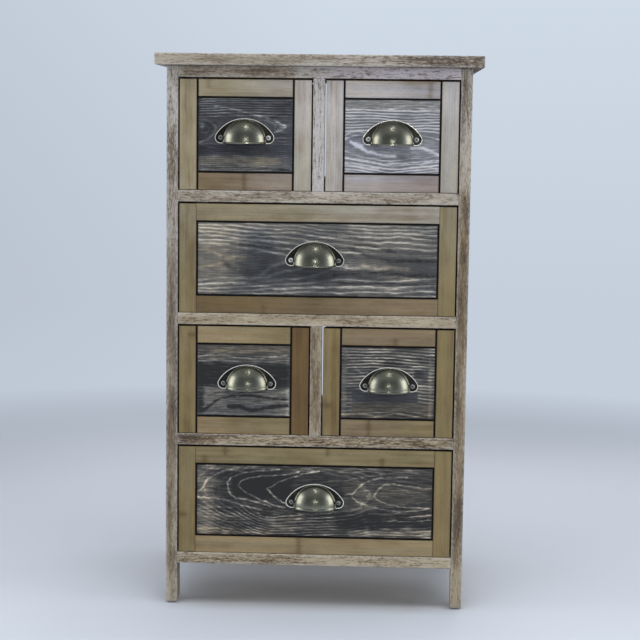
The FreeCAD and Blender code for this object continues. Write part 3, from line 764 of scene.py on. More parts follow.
FIGURES = {
    "top_left": Figure(
        heart=((-65, 10), (0, 11), (57, 12)), depth=((-65, 30), (0, 30), (66, 30)),
        radii=(31, 33.5), gap=2.2, line=0.9, lines=0.8, tone=-0.03, warmth=-0.25, sway=1.8, brushing=0.8,
        patches=(
            Patch(-66, 66, 24, 50, -0.11, 0.0, 1.1, 1.0),
            Patch(-66, 66, -9, 24, -0.03, 0.0, 0.35, 1.0),
            Patch(-66, 66, -28, -13, -0.12, -0.35, 0.35, 0.8),
            Patch(-66, 50, -41, -29, 0.14, 1.0, 0.3, 1.0),
            Patch(-66, 66, -50, -42, 0.02, 0.4, 0.9, 1.2, 2.0),
            Patch(61, 66, -50, 50, 0.03, -0.5, 0.5),
            Patch(-66, -63, -50, 50, -0.15, 0.0, 0.6),
            Patch(-58, -44, 0, 18, -0.08, 0.0, 0.2, 1.0, 4.0),
        ),
        veins=(
            Vein(((-60.5, 10.5), (-58, 10.3)), 0.35, 2.2),
            Vein(((-66, 21), (-55, 20.5), (-46, 17), (-41, 10), (-44, 1), (-53, -7), (-66, -12)),
                 0.25, 1.5),
            Vein(((-66, 15), (-54, 13), (-50, 8), (-54, 3), (-66, 0)), 0.15, 1.1),
            Vein(((-42, 39), (-15, 35), (5, 30), (24, 25), (41, 20), (56, 13), (49, 7), (38, 4)),
                 0.34, 1.2),
            Vein(((42, 18), (54, 12.5), (46, 8)), 0.25, 2.2),
            Vein(((13, 24), (30, 20), (42, 14), (40, 9)), 0.24, 1.0),
            Vein(((-30, 30), (-5, 26), (15, 20)), 0.22, 1.0),
            Vein(((38, -4), (66, -3)), 0.22, 1.1),
            Vein(((-42, -4), (-14, -7)), 0.2, 1.0),
            Vein(((-62, -44), (-30, -46), (10, -45), (60, -47)), -0.3, 1.0),
        ),
    ),
    "top_right": Figure(
        heart=((-65, -12), (0, -16), (65, -13)), depth=((-65, 20), (-30, 15), (0, 12), (35, 15), (65, 19)),
        radii=(14, 22, 27), gap=3.6, line=1.2, lines=0.85, tone=0.36, warmth=-0.5, sway=2.6, brushing=0.7,
        patches=(
            Patch(-66, 66, 38, 50, -0.04, 0.45, 0.25),
            Patch(-66, 66, 14, 38, -0.04, 0.1, 1.1),
            Patch(-60, 60, -26, -10, 0.02, -0.2, 0.25),
            Patch(-60, -40, -12, 2, -0.12, -0.6, 0.4),
            Patch(10, 60, -34, -27, -0.12, -0.3, 0.4),
        ),
        veins=(
            Vein(((-57, -7), (-49, -12.5), (-40, -17), (-32, -21), (-15, -25), (4, -26.5)), 0.50, 2.2),
            Vein(((-50, -10), (-42, -13)), 0.4, 3.0),
            Vein(((26, -15), (43, -15), (52, -19), (64, -24)), 0.42, 1.8),
            Vein(((-65, 1), (-57, 5.5), (-43, 7), (-38, 5)), 0.28, 1.0),
            Vein(((-65, -29), (-46, -32), (-10, -37.5), (24, -35), (65, -31)), 0.45, 1.0),
            Vein(((-65, -38), (-32, -42), (10, -44.5), (65, -38)), 0.35, 0.9),
            Vein(((-66, 37), (-20, 36.5), (30, 36), (66, 37)), 0.35, 0.9),
        ),
    ),
    "upper": Figure(
        heart=((-166, -4), (-60, -5), (60, -9), (166, -9)),
        depth=((-166, 25), (-94, 29), (-40, 34), (30, 40), (92, 40), (166, 42)),
        radii=(18, 24, 36, 40), gap=4.4, line=2.2, lines=0.85, tone=0.07, warmth=0.3, sway=3.4,
        brushing=0.75,
        patches=(
            Patch(-167, -118, -40, 40, 0.20, 0.35, 0.6, 0.9, 16.0),
            Patch(-100, 30, -32, -8, -0.16, -0.35, 0.4, 0.7, 9.0),
            Patch(-92, -60, -6, 44, -0.12, -0.4, 0.7, 0.8, 8.0),
            Patch(60, 167, -14, 14, 0.05, 0.1, 0.3, 0.6, 8.0),
            Patch(-167, -110, 36, 50, 0.10, 0.1, 1.0, 1.0, 4.0),
        ),
        veins=(
            Vein(((-125, 1), (-113, 0.5), (-101, 0)), 0.13, 3.4, 0.6),
            Vein(((-160, 14), (-145, 9), (-135, 4)), 0.14, 2.0, 0.4),
            Vein(((-164, -11), (-150, -10.5), (-139, -8), (-131, -5.5)), 0.18, 2.2, 0.7),
            Vein(((-131, -3), (-120, -12), (-100, -16)), -0.16, 4.0),
            Vein(((-103, -33.5), (-80, -24), (-63, -10), (-41, -1.5)), 0.2, 2.4),
            Vein(((-166, -36), (-120, -33), (-80, -36), (-40, -42)), 0.18, 1.8),
            Vein(((-120, 20), (-60, 17), (-20, 13)), -0.2, 2.4),
            Vein(((-166, 24), (-120, 27), (-60, 24), (0, 26)), 0.16, 1.8),
            Vein(((63, -5.5), (82, -9.5), (102, -8.5), (125, -11)), 0.14, 3.4, 0.4),
            Vein(((85, -22.5), (110, -21), (141, -25)), 0.16, 2.4, 0.3),
            Vein(((46, 18), (68, 7), (102, 0), (163, 1.5)), -0.22, 2.6),
            Vein(((52, 22), (80, 20), (104, 15), (108, 12), (96, 13)), -0.2, 1.8),
            Vein(((25, -21), (74, -15.5), (99, -17), (120, -19.5), (163, -21)), -0.24, 2.8),
            Vein(((-60, -43), (0, -37), (80, -39), (160, -40)), 0.2, 1.8),
            Vein(((30, -32), (90, -31), (163, -33)), -0.2, 2.0),
            Vein(((30, 32), (90, 35), (163, 41)), 0.16, 2.0),
        ),
    ),
    "lower_left": Figure(
        heart=((-65, -62), (66, -62)), depth=((-65, 24), (0, 18), (66, 26)),
        radii=(10, 20), gap=3.6, line=1.2, lines=0.5, tone=-0.13, warmth=0.25, sway=1.8, brushing=1.1,
        patches=(
            Patch(-66, 66, 37, 50, 0.22, 0.6, 0.2, 0.8, 3.0),
            Patch(-66, 66, 26, 37, 0.14, 0.2, 0.8, 1.0, 3.0),
            Patch(-66, 66, -8, 24, -0.26, 0.0, 0.6, 1.3, 3.0),
            Patch(-56, 66, -47, -10, 0.30, 0.1, 0.12, 1.1, 3.0),
            Patch(-64, -56, -48, 20, -0.14, 0.0, 0.8, 1.0, 2.0),
            Patch(-66, 66, -50, -46, 0.28, 0.1, 0.3, 1.0, 1.5),
            Patch(60, 66, -50, 30, 0.18, 0.1, 0.3, 1.0, 2.0),
        ),
        veins=(
            Vein(((-54, -42), (-37, -28), (-20, -22.5), (2, -20.5), (28, -23.5), (62, -26)), -0.62, 1.4),
            Vein(((-20, -37.5), (-6, -36.5), (11, -42), (28, -39), (45, -35.5), (62, -34.5)), -0.75, 2.3),
            Vein(((-9, -19), (5, -14.5), (25, -14.5)), -0.35, 1.0),
            Vein(((-50, -22), (-35, -18), (-20, -17)), -0.25, 1.0),
            Vein(((-45, 42), (-10, 40), (30, 43), (50, 41)), 0.2, 2.0, 0.4),
            Vein(((-65, 33), (-45, 36), (-25, 35.5), (-5, 32), (15, 31), (35, 34), (60, 36)), 0.32, 1.1),
            Vein(((-62, 27), (-30, 29), (0, 25), (30, 26), (62, 29)), 0.24, 0.9),
            Vein(((-60, -45), (-55, -41), (-50, -36)), -0.3, 1.0),
        ),
    ),
    "lower_right": Figure(
        heart=((-65, -70), (66, -72)), depth=((-65, 28), (0, 22), (66, 30)),
        radii=(10, 20), gap=4.2, line=1.9, lines=1.05, tone=-0.11, warmth=0.42, sway=1.5, brushing=1.0,
        patches=(
            Patch(-66, 66, 22, 46, -0.06, 0.0, 1.35, 1.0, 2.5),
            Patch(-50, 42, -28, -12, 0.04, -0.55, 0.08, 0.5, 2.0),
            Patch(-50, 66, -41, -28, 0.10, 0.75, 0.3, 0.8, 2.0),
            Patch(-66, 66, -50, -43, 0.0, 0.4, 0.5, 1.0, 1.5),
            Patch(-64, -58, -50, 50, 0.24, 0.1, 0.3, 1.0, 2.0),
            Patch(57, 62, -50, 50, 0.20, 0.1, 0.6, 1.0, 2.0),
            Patch(36, 56, 2, 20, 0.0, -0.3, 0.2, 1.0, 3.0),
        ),
        veins=(
            Vein(((-45, 19), (-35, 14), (-28, 15)), 0.3, 1.3),
            Vein(((-58, 21), (-44, 22)), 0.35, 1.2),
            Vein(((-66, -45), (-40, -43), (-15, -47), (10, -43), (40, -46), (64, -44)), 0.34, 1.1, 0.9),
            Vein(((-64, 36), (-30, 35), (0, 33), (30, 36), (62, 35)), -0.3, 0.9),
            Vein(((-64, 30), (-30, 31), (0, 28), (25, 24), (40, 27)), -0.3, 0.9),
            Vein(((30, -2), (60, -4)), 0.35, 1.0),
            Vein(((30, 6), (60, 5)), 0.3, 0.9),
        ),
    ),
    "bottom": Figure(
        heart=((-166, 18), (-65, 16), (60, 11), (166, 9)),
        depth=((-166, 70), (-121, 59), (-65, 40), (46, 50), (80, 56), (166, 60)),
        radii=(40, 56), gap=3.0, line=1.2, lines=0.6, tone=-0.15, warmth=0.45, sway=2.2, brushing=1.0,
        patches=(
            Patch(-167, -141, -50, 45, 0.34, 0.25, 0.8, 1.2, 10.0),
            Patch(-116, -30, 2, 40, -0.22, 0.0, 0.2, 0.6, 7.0),
            Patch(-152, -119, 0, 36, -0.04, 0.0, 0.3, 1.0, 6.0),
            Patch(30, 167, -36, -20, -0.27, -0.1, 1.4, 1.9, 5.0),
            Patch(-140, 30, -50, -12, -0.05, 0.0, 1.9, 1.9, 5.0),
            Patch(92, 164, -2, 24, 0.20, 0.4, 0.5, 1.2, 6.0),
            Patch(40, 90, -10, 30, 0.17, 0.2, 1.0, 1.4, 8.0),
            Patch(100, 167, -26, -6, 0.05, 0.2, 1.8, 1.9, 5.0),
            Patch(50, 167, -50, -38, 0.29, 0.3, 1.3, 2.0, 4.0),
            Patch(-166, -60, -50, -40, 0.22, 0.5, 0.8, 1.4, 4.0),
            Patch(-150, -100, -30, -10, 0.06, 0.1, 1.0, 1.2, 8.0),
            Patch(-60, -20, -46, -22, 0.20, 0.35, 0.9, 1.0, 9.0),
            Patch(-166, 167, 42, 50, 0.14, 0.1, 0.8, 2.2, 3.0),
        ),
        veins=(
            Vein(((6, 44), (-16, 39), (-39, 32), (-54, 25), (-66, 17), (-57, 7), (-45, -2), (-36, -6)),
                 0.75, 1.1),
            Vein(((-22, 42), (-50, 37), (-73, 35.5), (-93, 32), (-104, 28), (-108, 21), (-98, 12), (-87, 7),
                  (-73, 0), (-56, -6), (-42, -10)), 0.75, 1.1),
            Vein(((-50, 45), (-78, 43), (-101, 39), (-117, 33), (-122.5, 25), (-122, 17), (-119, 8),
                  (-111, 3), (-95, 1), (-78, -3), (-61, -8)), 0.75, 1.1),
            Vein(((-107, 47), (-127, 42), (-141, 36), (-152, 28), (-156, 19), (-165, 11)), 0.45, 1.1),
            Vein(((-165, 4), (-146, 2.5), (-129, 1), (-112, -4), (-95, -9), (-73, -14)), 0.6, 1.1),
            Vein(((-51, -18), (-62, -28), (-72, -36), (-83, -46)), 0.16, 5.0),
            Vein(((43, 10.5), (53, 12), (60, 19), (69, 28), (80, 33), (94, 36), (130, 38)), 0.5, 1.1),
            Vein(((20, 30), (45, 32), (70, 37), (100, 42)), 0.3),
            Vein(((53, 8), (61, 1), (77, -5), (97, -9), (120, -12)), 0.5, 1.1),
            Vein(((165, 22), (128, 25), (111, 28), (98, 26), (90, 19), (84, 11), (90, 4), (105, -2),
                  (120, -5), (162, -6)), 0.5, 1.1),
            Vein(((75, -46), (72, -26)), 0.14, 4.0),
        ),
    ),
}


PANEL_VALUES = ("rings", "tone", "warmth", "lines", "sharpness", "brushing", "seed", "black_side")


def ripple(x, z, long, high, seed):
    """Soft noise on a panel, from -1 to 1, its waves about this long and high in millimetres."""
    return noise.noise(Vector((x / long, z / high, seed)))


def ring_number(figure, radius):
    """Count the growth rings out to a distance from the heart."""
    steps = (0,) + figure.radii
    for index, (start, end) in enumerate(zip(steps, steps[1:])):
        if radius < end:
            return index + (radius - start) / (end - start)
    return len(figure.radii) + (radius - steps[-1]) / figure.gap


def panel_rings(figure, seed, x, z):
    """Which growth ring a point of a panel lies in, as the rings sway along the grain."""
    sway = ripple(x, z, 55, 22, seed) + 0.28 * ripple(x, z, 13, 5, seed + 5)
    rise = z - along_points(figure.heart, x) + figure.sway * sway
    depth = along_points(figure.depth, x)
    return ring_number(figure, math.hypot(rise, depth))


def line_sharpness(figure, seed, x, z, rings):
    """How sharp the rings' lines must be to be equally wide where rings lie close and far apart."""
    step = 0.5
    across = panel_rings(figure, seed, x, z + step) - rings
    along = panel_rings(figure, seed, x + step, z) - rings
    spacing = step / max(math.hypot(across, along), 0.01)
    widest_share = 0.65
    share = min(figure.line / spacing, widest_share)
    return clamp(math.log(0.5) / math.log(1 - share), 0.6, 12.0)


def between(value, low, high, soft):
    """1 between two ends, 0 outside them and in between at the soft ends."""
    return smooth(value, low - soft, low + soft) * (1 - smooth(value, high - soft, high + soft))


def patch_share(patch, seed, x, z):
    """How much a soft-edged patch covers a point, from 0 to 1."""
    ragged = 1.3 * patch.soft * ripple(x, z, 20, 6, seed + 9)
    sides = between(x + ragged, patch.left, patch.right, patch.soft)
    return sides * between(z + ragged, patch.low, patch.high, patch.soft)


def line_distance(points, spot):
    """How far a spot is from the nearest place on a line through some points."""
    nearest = math.inf
    for start, end in zip(points, points[1:]):
        first = Vector(start)
        run = Vector(end) - first
        share = clamp((spot - first).dot(run) / run.length_squared)
        nearest = min(nearest, (spot - first - run * share).length)
    return nearest


def vein_share(vein, seed, x, z):
    """How much a ragged line through some points covers a point, from 0 to 1."""
    reach = 3 * vein.width
    sideways = 1.5
    ends = [spot[0] for spot in vein.points]
    if not min(ends) - reach - sideways < x < max(ends) + reach + sideways:
        return 0.0
    rise = ripple(x, z, 9, 9, seed + 3) + 0.8 * ripple(x, z, 3.5, 3.5, seed + 4)
    shift = sideways * ripple(x, z, 5, 5, seed + 7)
    distance = line_distance(vein.points, Vector((x + shift, z + rise)))
    if distance > reach:
        return 0.0
    broken = 0.9 + 0.7 * ripple(x, z, 6, 6, seed + 6)
    return math.exp(-((distance / vein.width) ** 2)) * broken


def panel_looks(figure, seed, x, z):
    """A panel's tone, warmth, strength of its lines and brushing at a point."""
    tone, warmth, lines, brushing = figure.tone, figure.warmth, figure.lines, figure.brushing
    for patch in figure.patches:
        share = patch_share(patch, seed, x, z)
        tone += patch.tone * share
        warmth += patch.warmth * share
        lines *= 1 + (patch.lines - 1) * share
        brushing *= 1 + (patch.brushing - 1) * share
    for vein in figure.veins:
        share = vein_share(vein, seed, x, z)
        tone += vein.tone * share
        warmth += vein.warmth * share
    return tone, warmth, lines, brushing


def panel_front(low, high, cell):
    """A flat grid over a panel's front."""
    width = high.x - low.x
    height = high.z - low.z
    mesh = bmesh.new()
    bmesh.ops.create_grid(
        mesh, x_segments=round(width / cell), y_segments=round(height / cell), size=0.5,
        matrix=Matrix.Rotation(math.radians(90), 4, RIGHT),
    )
    reach = max(vert.co.x for vert in mesh.verts)
    bmesh.ops.scale(mesh, vec=(width / reach / 2, 1, height / reach / 2), verts=mesh.verts)
    middle = (low + high) / 2
    bmesh.ops.translate(mesh, vec=(middle.x, low.y, middle.z), verts=mesh.verts)
    return mesh


def close_behind(mesh, back):
    """Grow walls from the open edge of a panel's front to its back, and close it there."""
    border = [edge for edge in mesh.edges if edge.is_boundary]
    for vert in points_in(bmesh.ops.extrude_edge_only(mesh, edges=border)["geom"]):
        vert.co.y = back
    bmesh.ops.contextual_create(mesh, geom=[edge for edge in mesh.edges if edge.is_boundary])


def make_panel(drawer, seed):
    """A limed panel with its figure painted on a fine mesh and its soft grain brushed out."""
    face = bpy.context.scene.chest_face
    figure = FIGURES[drawer]
    node = drawer + "_face_panel"
    low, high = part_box(node)
    middle = (low + high) / 2
    mesh = panel_front(low, high, face.grid)
    for name in PANEL_VALUES:
        mesh.verts.layers.float.new(name)
    layers = [mesh.verts.layers.float[name] for name in PANEL_VALUES]
    for vert in mesh.verts:
        x = (vert.co.x - middle.x) / MM
        z = (vert.co.z - middle.z) / MM
        rings = panel_rings(figure, seed, x, z)
        sharpness = line_sharpness(figure, seed, x, z, rings)
        tone, warmth, lines, brushing = panel_looks(figure, seed, x, z)
        border = min(vert.co.x - low.x, high.x - vert.co.x, vert.co.z - low.z, high.z - vert.co.z)
        # Painted shade along the panel's eased border
        black_side = 1 - smooth(border, 0.0, FACE_EASE)
        values = (rings, tone, warmth, lines, sharpness, brushing, seed, black_side)
        for layer, value in zip(layers, values):
            vert[layer] = value
        brushed = (abs((rings % 1) - 0.5) * 2) ** 3 * clamp(lines)
        vert.co.y += face.relief * brushed + max(FACE_EASE - border, 0.0)
    close_behind(mesh, high.y)
    finished(drawer + "_panel", mesh, node, material("limed_panel", limed_panel))


# Face strips

SIDES = ("left", "right", "bottom", "top")

# Which bamboo each drawer face was given: left stile, right stile, bottom rail and top rail, each with the
# shade of its lower or left end and of its upper or right end
STRIPS = {
    "top_left": (("straw", "straw"), ("cream", "ash"), ("copper", "clay"), ("straw", "cream")),
    "top_right": (("ash", "ash"), ("cream", "ash"), ("mauve", "rose"), ("ash", "mauve")),
    "upper": (("olive", "moss"), ("olive", "moss"), ("umber", "copper"), ("moss", "cream")),
    "lower_left": (("golden", "olive"), ("russet", "russet"), ("honey", "olive"), ("honey", "olive")),
    "lower_right": (("golden", "golden"), ("golden", "golden"), ("copper", "olive"), ("copper", "copper")),
    "bottom": (("golden", "olive"), ("golden", "golden"), ("honey", "honey"), ("olive", "olive")),
}

# Bamboo nodes that cross a strip: how far along it from its low end, in millimetres, and which slat of the
# laminated strip they cross, -1 for the lower or left one, 1 for the upper or right one and 0 for both
Node = namedtuple("Node", "place slat", defaults=(0,))
NODES = {
    ("top_left", "top"): (Node(14, 1),),
    ("top_left", "bottom"): (Node(64),),
    ("top_right", "top"): (Node(116),),
    ("upper", "bottom"): (Node(95, -1),),
    ("lower_left", "left"): (Node(140, 1),),
    ("lower_right", "left"): (Node(44, -1),),
    ("lower_right", "top"): (Node(74, -1),),
    ("lower_right", "bottom"): (Node(39),),
    ("bottom", "top"): (Node(14, -1), Node(42, 1), Node(187, 1), Node(263, -1)),
    ("bottom", "left"): (Node(54, -1),),
    ("bottom", "bottom"): (Node(147),),
}
NODE_LIFT = 0.25 * MM
NODE_BOW = 1.5 * MM
NODE_BAND = 5
NODE_LINE = 1.8
STRIP_WEAR = 0.25 * MM
STRIP_CELL = 3 * MM
STRIP_FRONT = 1.5 * MM
SLAT_JOINT = 1.5 * MM


def strip_places(drawer):
    """The corners of the four strips of a face. The rails of a wide drawer's face touch its stiles."""
    strip = bpy.context.scene.chest_face.strip_width
    low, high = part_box(drawer + "_face_strips")
    panel_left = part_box(drawer + "_face_panel")[0].x
    is_wide = high.x - low.x > 2 * (high.z - low.z)
    gap = 0.0 if is_wide else panel_left - low.x - strip
    rail_left = low.x + strip + gap
    rail_right = high.x - strip - gap
    return (
        ("left", low.copy(), Vector((low.x + strip, high.y, high.z))),
        ("right", Vector((high.x - strip, low.y, low.z)), high.copy()),
        ("bottom", Vector((rail_left, low.y, low.z)), Vector((rail_right, high.y, low.z + strip))),
        ("top", Vector((rail_left, low.y, high.z - strip)), Vector((rail_right, high.y, high.z))),
    )


class Strip:
    """One laminated strip of two slats, and what its bamboo looks like at any point of it."""

    def __init__(self, drawer, low, high, side, seed):
        face = bpy.context.scene.chest_face
        shades = STRIPS[drawer][SIDES.index(side)]
        self.shades = [Vector(linear(getattr(face, name))[:3]) for name in shades]
        self.low = low
        self.high = high
        self.seed = seed
        self.axis, self.across = (Z, X) if side in ("left", "right") else (X, Z)
        self.nodes = NODES.get((drawer, side), ())

    def slat(self, point):
        """Which side of the strip's middle a point lies on, from -1 to 1."""
        off_middle = point[self.across] - (self.low[self.across] + self.high[self.across]) / 2
        return 2 * smooth(off_middle, -SLAT_JOINT, SLAT_JOINT) - 1

    def node_share(self, point):
        """How much of a bamboo node a point lies on: a thin line inside a wider soft band."""
        bow = NODE_BOW * noise.noise(Vector((self.slat(point) * 2, point.x * 60, self.seed)))
        total = 0.0
        for mark in self.nodes:
            gap = (point[self.axis] + bow - self.low[self.axis]) / MM - mark.place
            same_slat = 1.0 if mark.slat == 0 else 0.5 + 0.5 * mark.slat * self.slat(point)
            band = math.exp(-((gap / NODE_BAND) ** 2))
            line = math.exp(-((gap / NODE_LINE) ** 2))
            total += 0.5 * (band + line) * same_slat
        return total

    def tone(self, point):
        slow = noise.noise(Vector((point[self.axis] * 9, self.seed, 0)))
        slat_tone = 0.08 * self.slat(point) * math.sin(self.seed * 9)
        return 0.2 * slow + slat_tone - 0.8 * self.node_share(point)

    def shade(self, point):
        across = (point[self.across] - self.low[self.across]) / MM
        pick = noise.noise(Vector((across / 7, self.seed * 3, point[self.axis] * 4)))
        warm = Vector((1 + 0.08 * pick, 1 + 0.01 * pick, 1 - 0.10 * pick))
        share = (point[self.axis] - self.low[self.axis]) / (self.high[self.axis] - self.low[self.axis])
        return (*(self.shades[0].lerp(self.shades[1], smooth(share, 0.15, 0.95)) * warm), 1.0)

    def black_side(self, point):
        """How much painted shade a point on a strip's sides and ends has: black that makes the gaps around
        the strip as dark as shade.
        """
        end = min(point[self.axis] - self.low[self.axis], self.high[self.axis] - point[self.axis])
        side = smooth(point.y - self.low.y, 0.5 * MM, 1.1 * MM)
        return max(side, 0.7 * (1 - smooth(end, 0.0, 0.8 * MM)))


def make_strip(drawer, low, high, side, seed):
    strip = Strip(drawer, low, high, side, seed)
    mesh = board(low, high, FACE_EASE, cells_for(low, high, STRIP_CELL, STRIP_CELL), STRIP_WEAR, seed)
    if strip.nodes:
        for vert in mesh.verts:
            if vert.co.y < low.y + STRIP_FRONT:
                vert.co.y += NODE_LIFT * (1 - clamp(strip.node_share(vert.co)))
    paint(mesh, "tone", strip.tone)
    # Painted shade on the strip's sides and ends, for the gaps around it
    paint(mesh, "black_side", strip.black_side)
    paint_colour(mesh, "shade", strip.shade)
    name = "bamboo_upright" if strip.axis == Z else "bamboo_level"
    finish = material(name, bamboo, strip.axis)
    finished("%s_%s_strip" % (drawer, side), mesh, drawer + "_face_strips", finish)


# Pulls

EAR_STEPS = 14
CROWN_STEPS = 40
FILLET_STEPS = 4
SHOULDER_STEPS = 6
DOME_STEPS = 18
CUP_STEPS = 36
SCREW_STEPS = 32
INNER_FILLET = 0.3 * MM
NEAR = 0.05 * MM

# How a screw's pan head is domed, as shares of its radius and of its height
HEAD_PROFILE = ((0, 0), (0.45, 0.04), (0.72, 0.14), (0.9, 0.36), (1.0, 0.7), (1.0, 1.0))


def flange_points(pull, width, height):
    """The flange's outline, from its right foot over the top to its left foot, seen from the front."""
    ear_x = width / 2 - pull.ear
    rise = height - pull.ear
    crown_radius = (ear_x ** 2 + rise ** 2 - pull.ear ** 2) / (2 * (height - 2 * pull.ear))
    crown_middle = height - crown_radius
    tilt = math.atan2(ear_x, pull.ear - crown_middle)
    mesh = bmesh.new()
    bmesh.ops.create_vert(mesh, co=(ear_x, 0, 0))
    bmesh.ops.spin(
        mesh, geom=mesh.verts[:], cent=(ear_x, 0, pull.ear), axis=-BACK, dvec=(0, 0, 0),
        angle=math.pi - tilt, steps=EAR_STEPS, use_merge=False,
    )
    ear = [vert.co.copy() for vert in mesh.verts]
    mesh.free()
    crown = []
    for step in range(1, CROWN_STEPS):
        turn = tilt * (1 - 2 * step / CROWN_STEPS)
        crown.append(Vector((math.sin(turn), 0, math.cos(turn))) * crown_radius + UP * crown_middle)
    other_ear = [Vector((-point.x, 0, point.z)) for point in reversed(ear)]
    return ear + crown + other_ear


def make_flange(mesh, pull, width, height):
    """The flat plate with its raised rim, standing off the plane Y = 0."""
    plate = mesh.faces.new([mesh.verts.new(point) for point in flange_points(pull, width, height)])
    plate.normal_update()
    if plate.normal.y > 0:
        plate.normal_flip()
    front = bmesh.ops.extrude_face_region(mesh, geom=[plate])["geom"]
    face = [item for item in front if isinstance(item, bmesh.types.BMFace)][0]
    rim_front = -(pull.sheet + pull.rim_height)
    for vert in face.verts:
        vert.co.y = rim_front
    for width_share, height_share in ((0.25, 0.15), (0.5, 0.0), (0.25, 0.0)):
        bmesh.ops.inset_region(
            mesh, faces=[face], thickness=width_share * pull.rim_width,
            depth=height_share * pull.rim_height, use_even_offset=True,
        )
    for vert in face.verts:
        vert.co.y = -pull.sheet
    for vert in mesh.verts:
        vert.co.y = max(vert.co.y, rim_front)


def cup_profile(pull, radius, out, fillet):
    """Points from the flange over the fillet, up a short wall and over a shallow dome to its crown."""
    quarter = math.pi / 2
    points = []
    for step in range(FILLET_STEPS + 1):
        turn = quarter * step / FILLET_STEPS
        points.append((radius + fillet * (1 - math.sin(turn)), pull.sheet + fillet * (1 - math.cos(turn))))
    shoulder = pull.shoulder
    dome = (radius - shoulder * (1 - math.sin(pull.brow))) / math.sin(pull.brow)
    middle = (dome - shoulder) * math.sin(pull.brow)
    level = out - dome + (dome - shoulder) * math.cos(pull.brow)
    for step in range(SHOULDER_STEPS):
        turn = quarter + (pull.brow - quarter) * step / SHOULDER_STEPS
        points.append((middle + shoulder * math.sin(turn), level + shoulder * math.cos(turn)))
    for step in range(DOME_STEPS + 1):
        turn = pull.brow * (1 - step / DOME_STEPS)
        points.append((dome * math.sin(turn), out - dome + dome * math.cos(turn)))
    return points


def lies_at(edge, height):
    return all(abs(vert.co.z - height) < NEAR for vert in edge.verts)


def turn_lip(mesh, pull, foot):
    """Grow a skirt down from the cup's open edge, its end turned outwards."""
    bend = 0.8 * MM
    tip = 0.4 * MM
    drops = (pull.skirt - pull.lip_height - bend, bend, pull.lip_height - tip, tip)
    flares = (0.0, 0.55, 0.45, -0.2)
    for drop, flare in zip(drops, flares):
        grown = bmesh.ops.extrude_edge_only(mesh, edges=foot)["geom"]
        for vert in points_in(grown):
            if vert.co.y < -(pull.sheet + NEAR):
                vert.co += Vector((vert.co.x, vert.co.y, 0)).normalized() * flare * pull.lip
            vert.co.z -= drop
        foot = [item for item in grown if isinstance(item, bmesh.types.BMEdge)]


def cup_wall(pull, radius, out, fillet):
    """One wall of the cup: half a dome over a straight skirt, open below."""
    mesh = bmesh.new()
    points = cup_profile(pull, radius, out, fillet)
    verts = [mesh.verts.new((place, -height, pull.skirt)) for place, height in points]
    edges = [mesh.edges.new(pair) for pair in zip(verts, verts[1:])]
    bmesh.ops.spin(
        mesh, geom=verts + edges, cent=(0, 0, pull.skirt), axis=-BACK, angle=math.pi, steps=CUP_STEPS,
        use_merge=False,
    )
    bmesh.ops.remove_doubles(mesh, verts=mesh.verts, dist=2 * WELD)
    turn_lip(mesh, pull, [edge for edge in mesh.edges if edge.is_boundary and lies_at(edge, pull.skirt)])
    bmesh.ops.recalc_face_normals(mesh, faces=mesh.faces)
    return mesh


def join(mesh, part):
    """Move everything of a part into a mesh."""
    data = bpy.data.meshes.new("part")
    part.to_mesh(data)
    part.free()
    mesh.from_mesh(data)
    bpy.data.meshes.remove(data)


def make_pull(drawer):
    """A cup pull: rimmed flange, round cup with a soft foot, and a lip along its lower edge."""
    pull = bpy.context.scene.chest_pull
    node = drawer + "_pull"
    low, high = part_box(node)
    foot = Vector(((low.x + high.x) / 2, high.y, low.z))
    mesh = bmesh.new()
    make_flange(mesh, pull, high.x - low.x, high.z - low.z)
    join(mesh, cup_wall(pull, pull.cup_radius, pull.cup_projection, pull.fillet))
    join(mesh, cup_wall(pull, pull.cup_radius - pull.sheet, pull.cup_projection - pull.sheet, INNER_FILLET))
    lower = [edge for edge in mesh.edges if edge.is_boundary and lies_at(edge, 0)]
    bmesh.ops.bridge_loops(mesh, edges=lower)
    bmesh.ops.translate(mesh, vec=foot, verts=mesh.verts)
    cup_polish = 0.55
    lip_polish = 0.2
    flange_polish = 0.07
    rim_polish = 1.15

    def polish(point):
        place = point - foot
        reach = math.hypot(place.x, place.z - pull.skirt)
        if reach < pull.cup_radius + 0.95 * pull.fillet:
            return cup_polish + lip_polish * (1 - smooth(place.z, 0.8 * MM, 2.2 * MM))
        rim = smooth(-place.y, pull.sheet + 0.3 * pull.rim_height, pull.sheet + 0.9 * pull.rim_height)
        return flange_polish + rim_polish * rim

    paint(mesh, "polish", polish)
    finish = material("aged_bronze", aged_bronze)
    finished(node + "_metal", mesh, node, finish, sharp_angle=math.radians(50))


def turned_screw(pull, radius, length):
    """A pan head and its shank, turned around Y, with the top of the head at Y = 0."""
    head = pull.head_height
    mesh = bmesh.new()
    spots = [(radius * place, head * depth, 0) for place, depth in HEAD_PROFILE]
    spots += [(pull.shank, head, 0), (pull.shank, length - 1 * MM, 0), (0, length, 0)]
    verts = [mesh.verts.new(spot) for spot in spots]
    edges = [mesh.edges.new(pair) for pair in zip(verts, verts[1:])]
    bmesh.ops.spin(
        mesh, geom=verts + edges, cent=(0, 0, 0), axis=BACK, angle=2 * math.pi, steps=SCREW_STEPS,
        use_merge=True,
    )
    bmesh.ops.remove_doubles(mesh, verts=mesh.verts, dist=WELD)
    return mesh


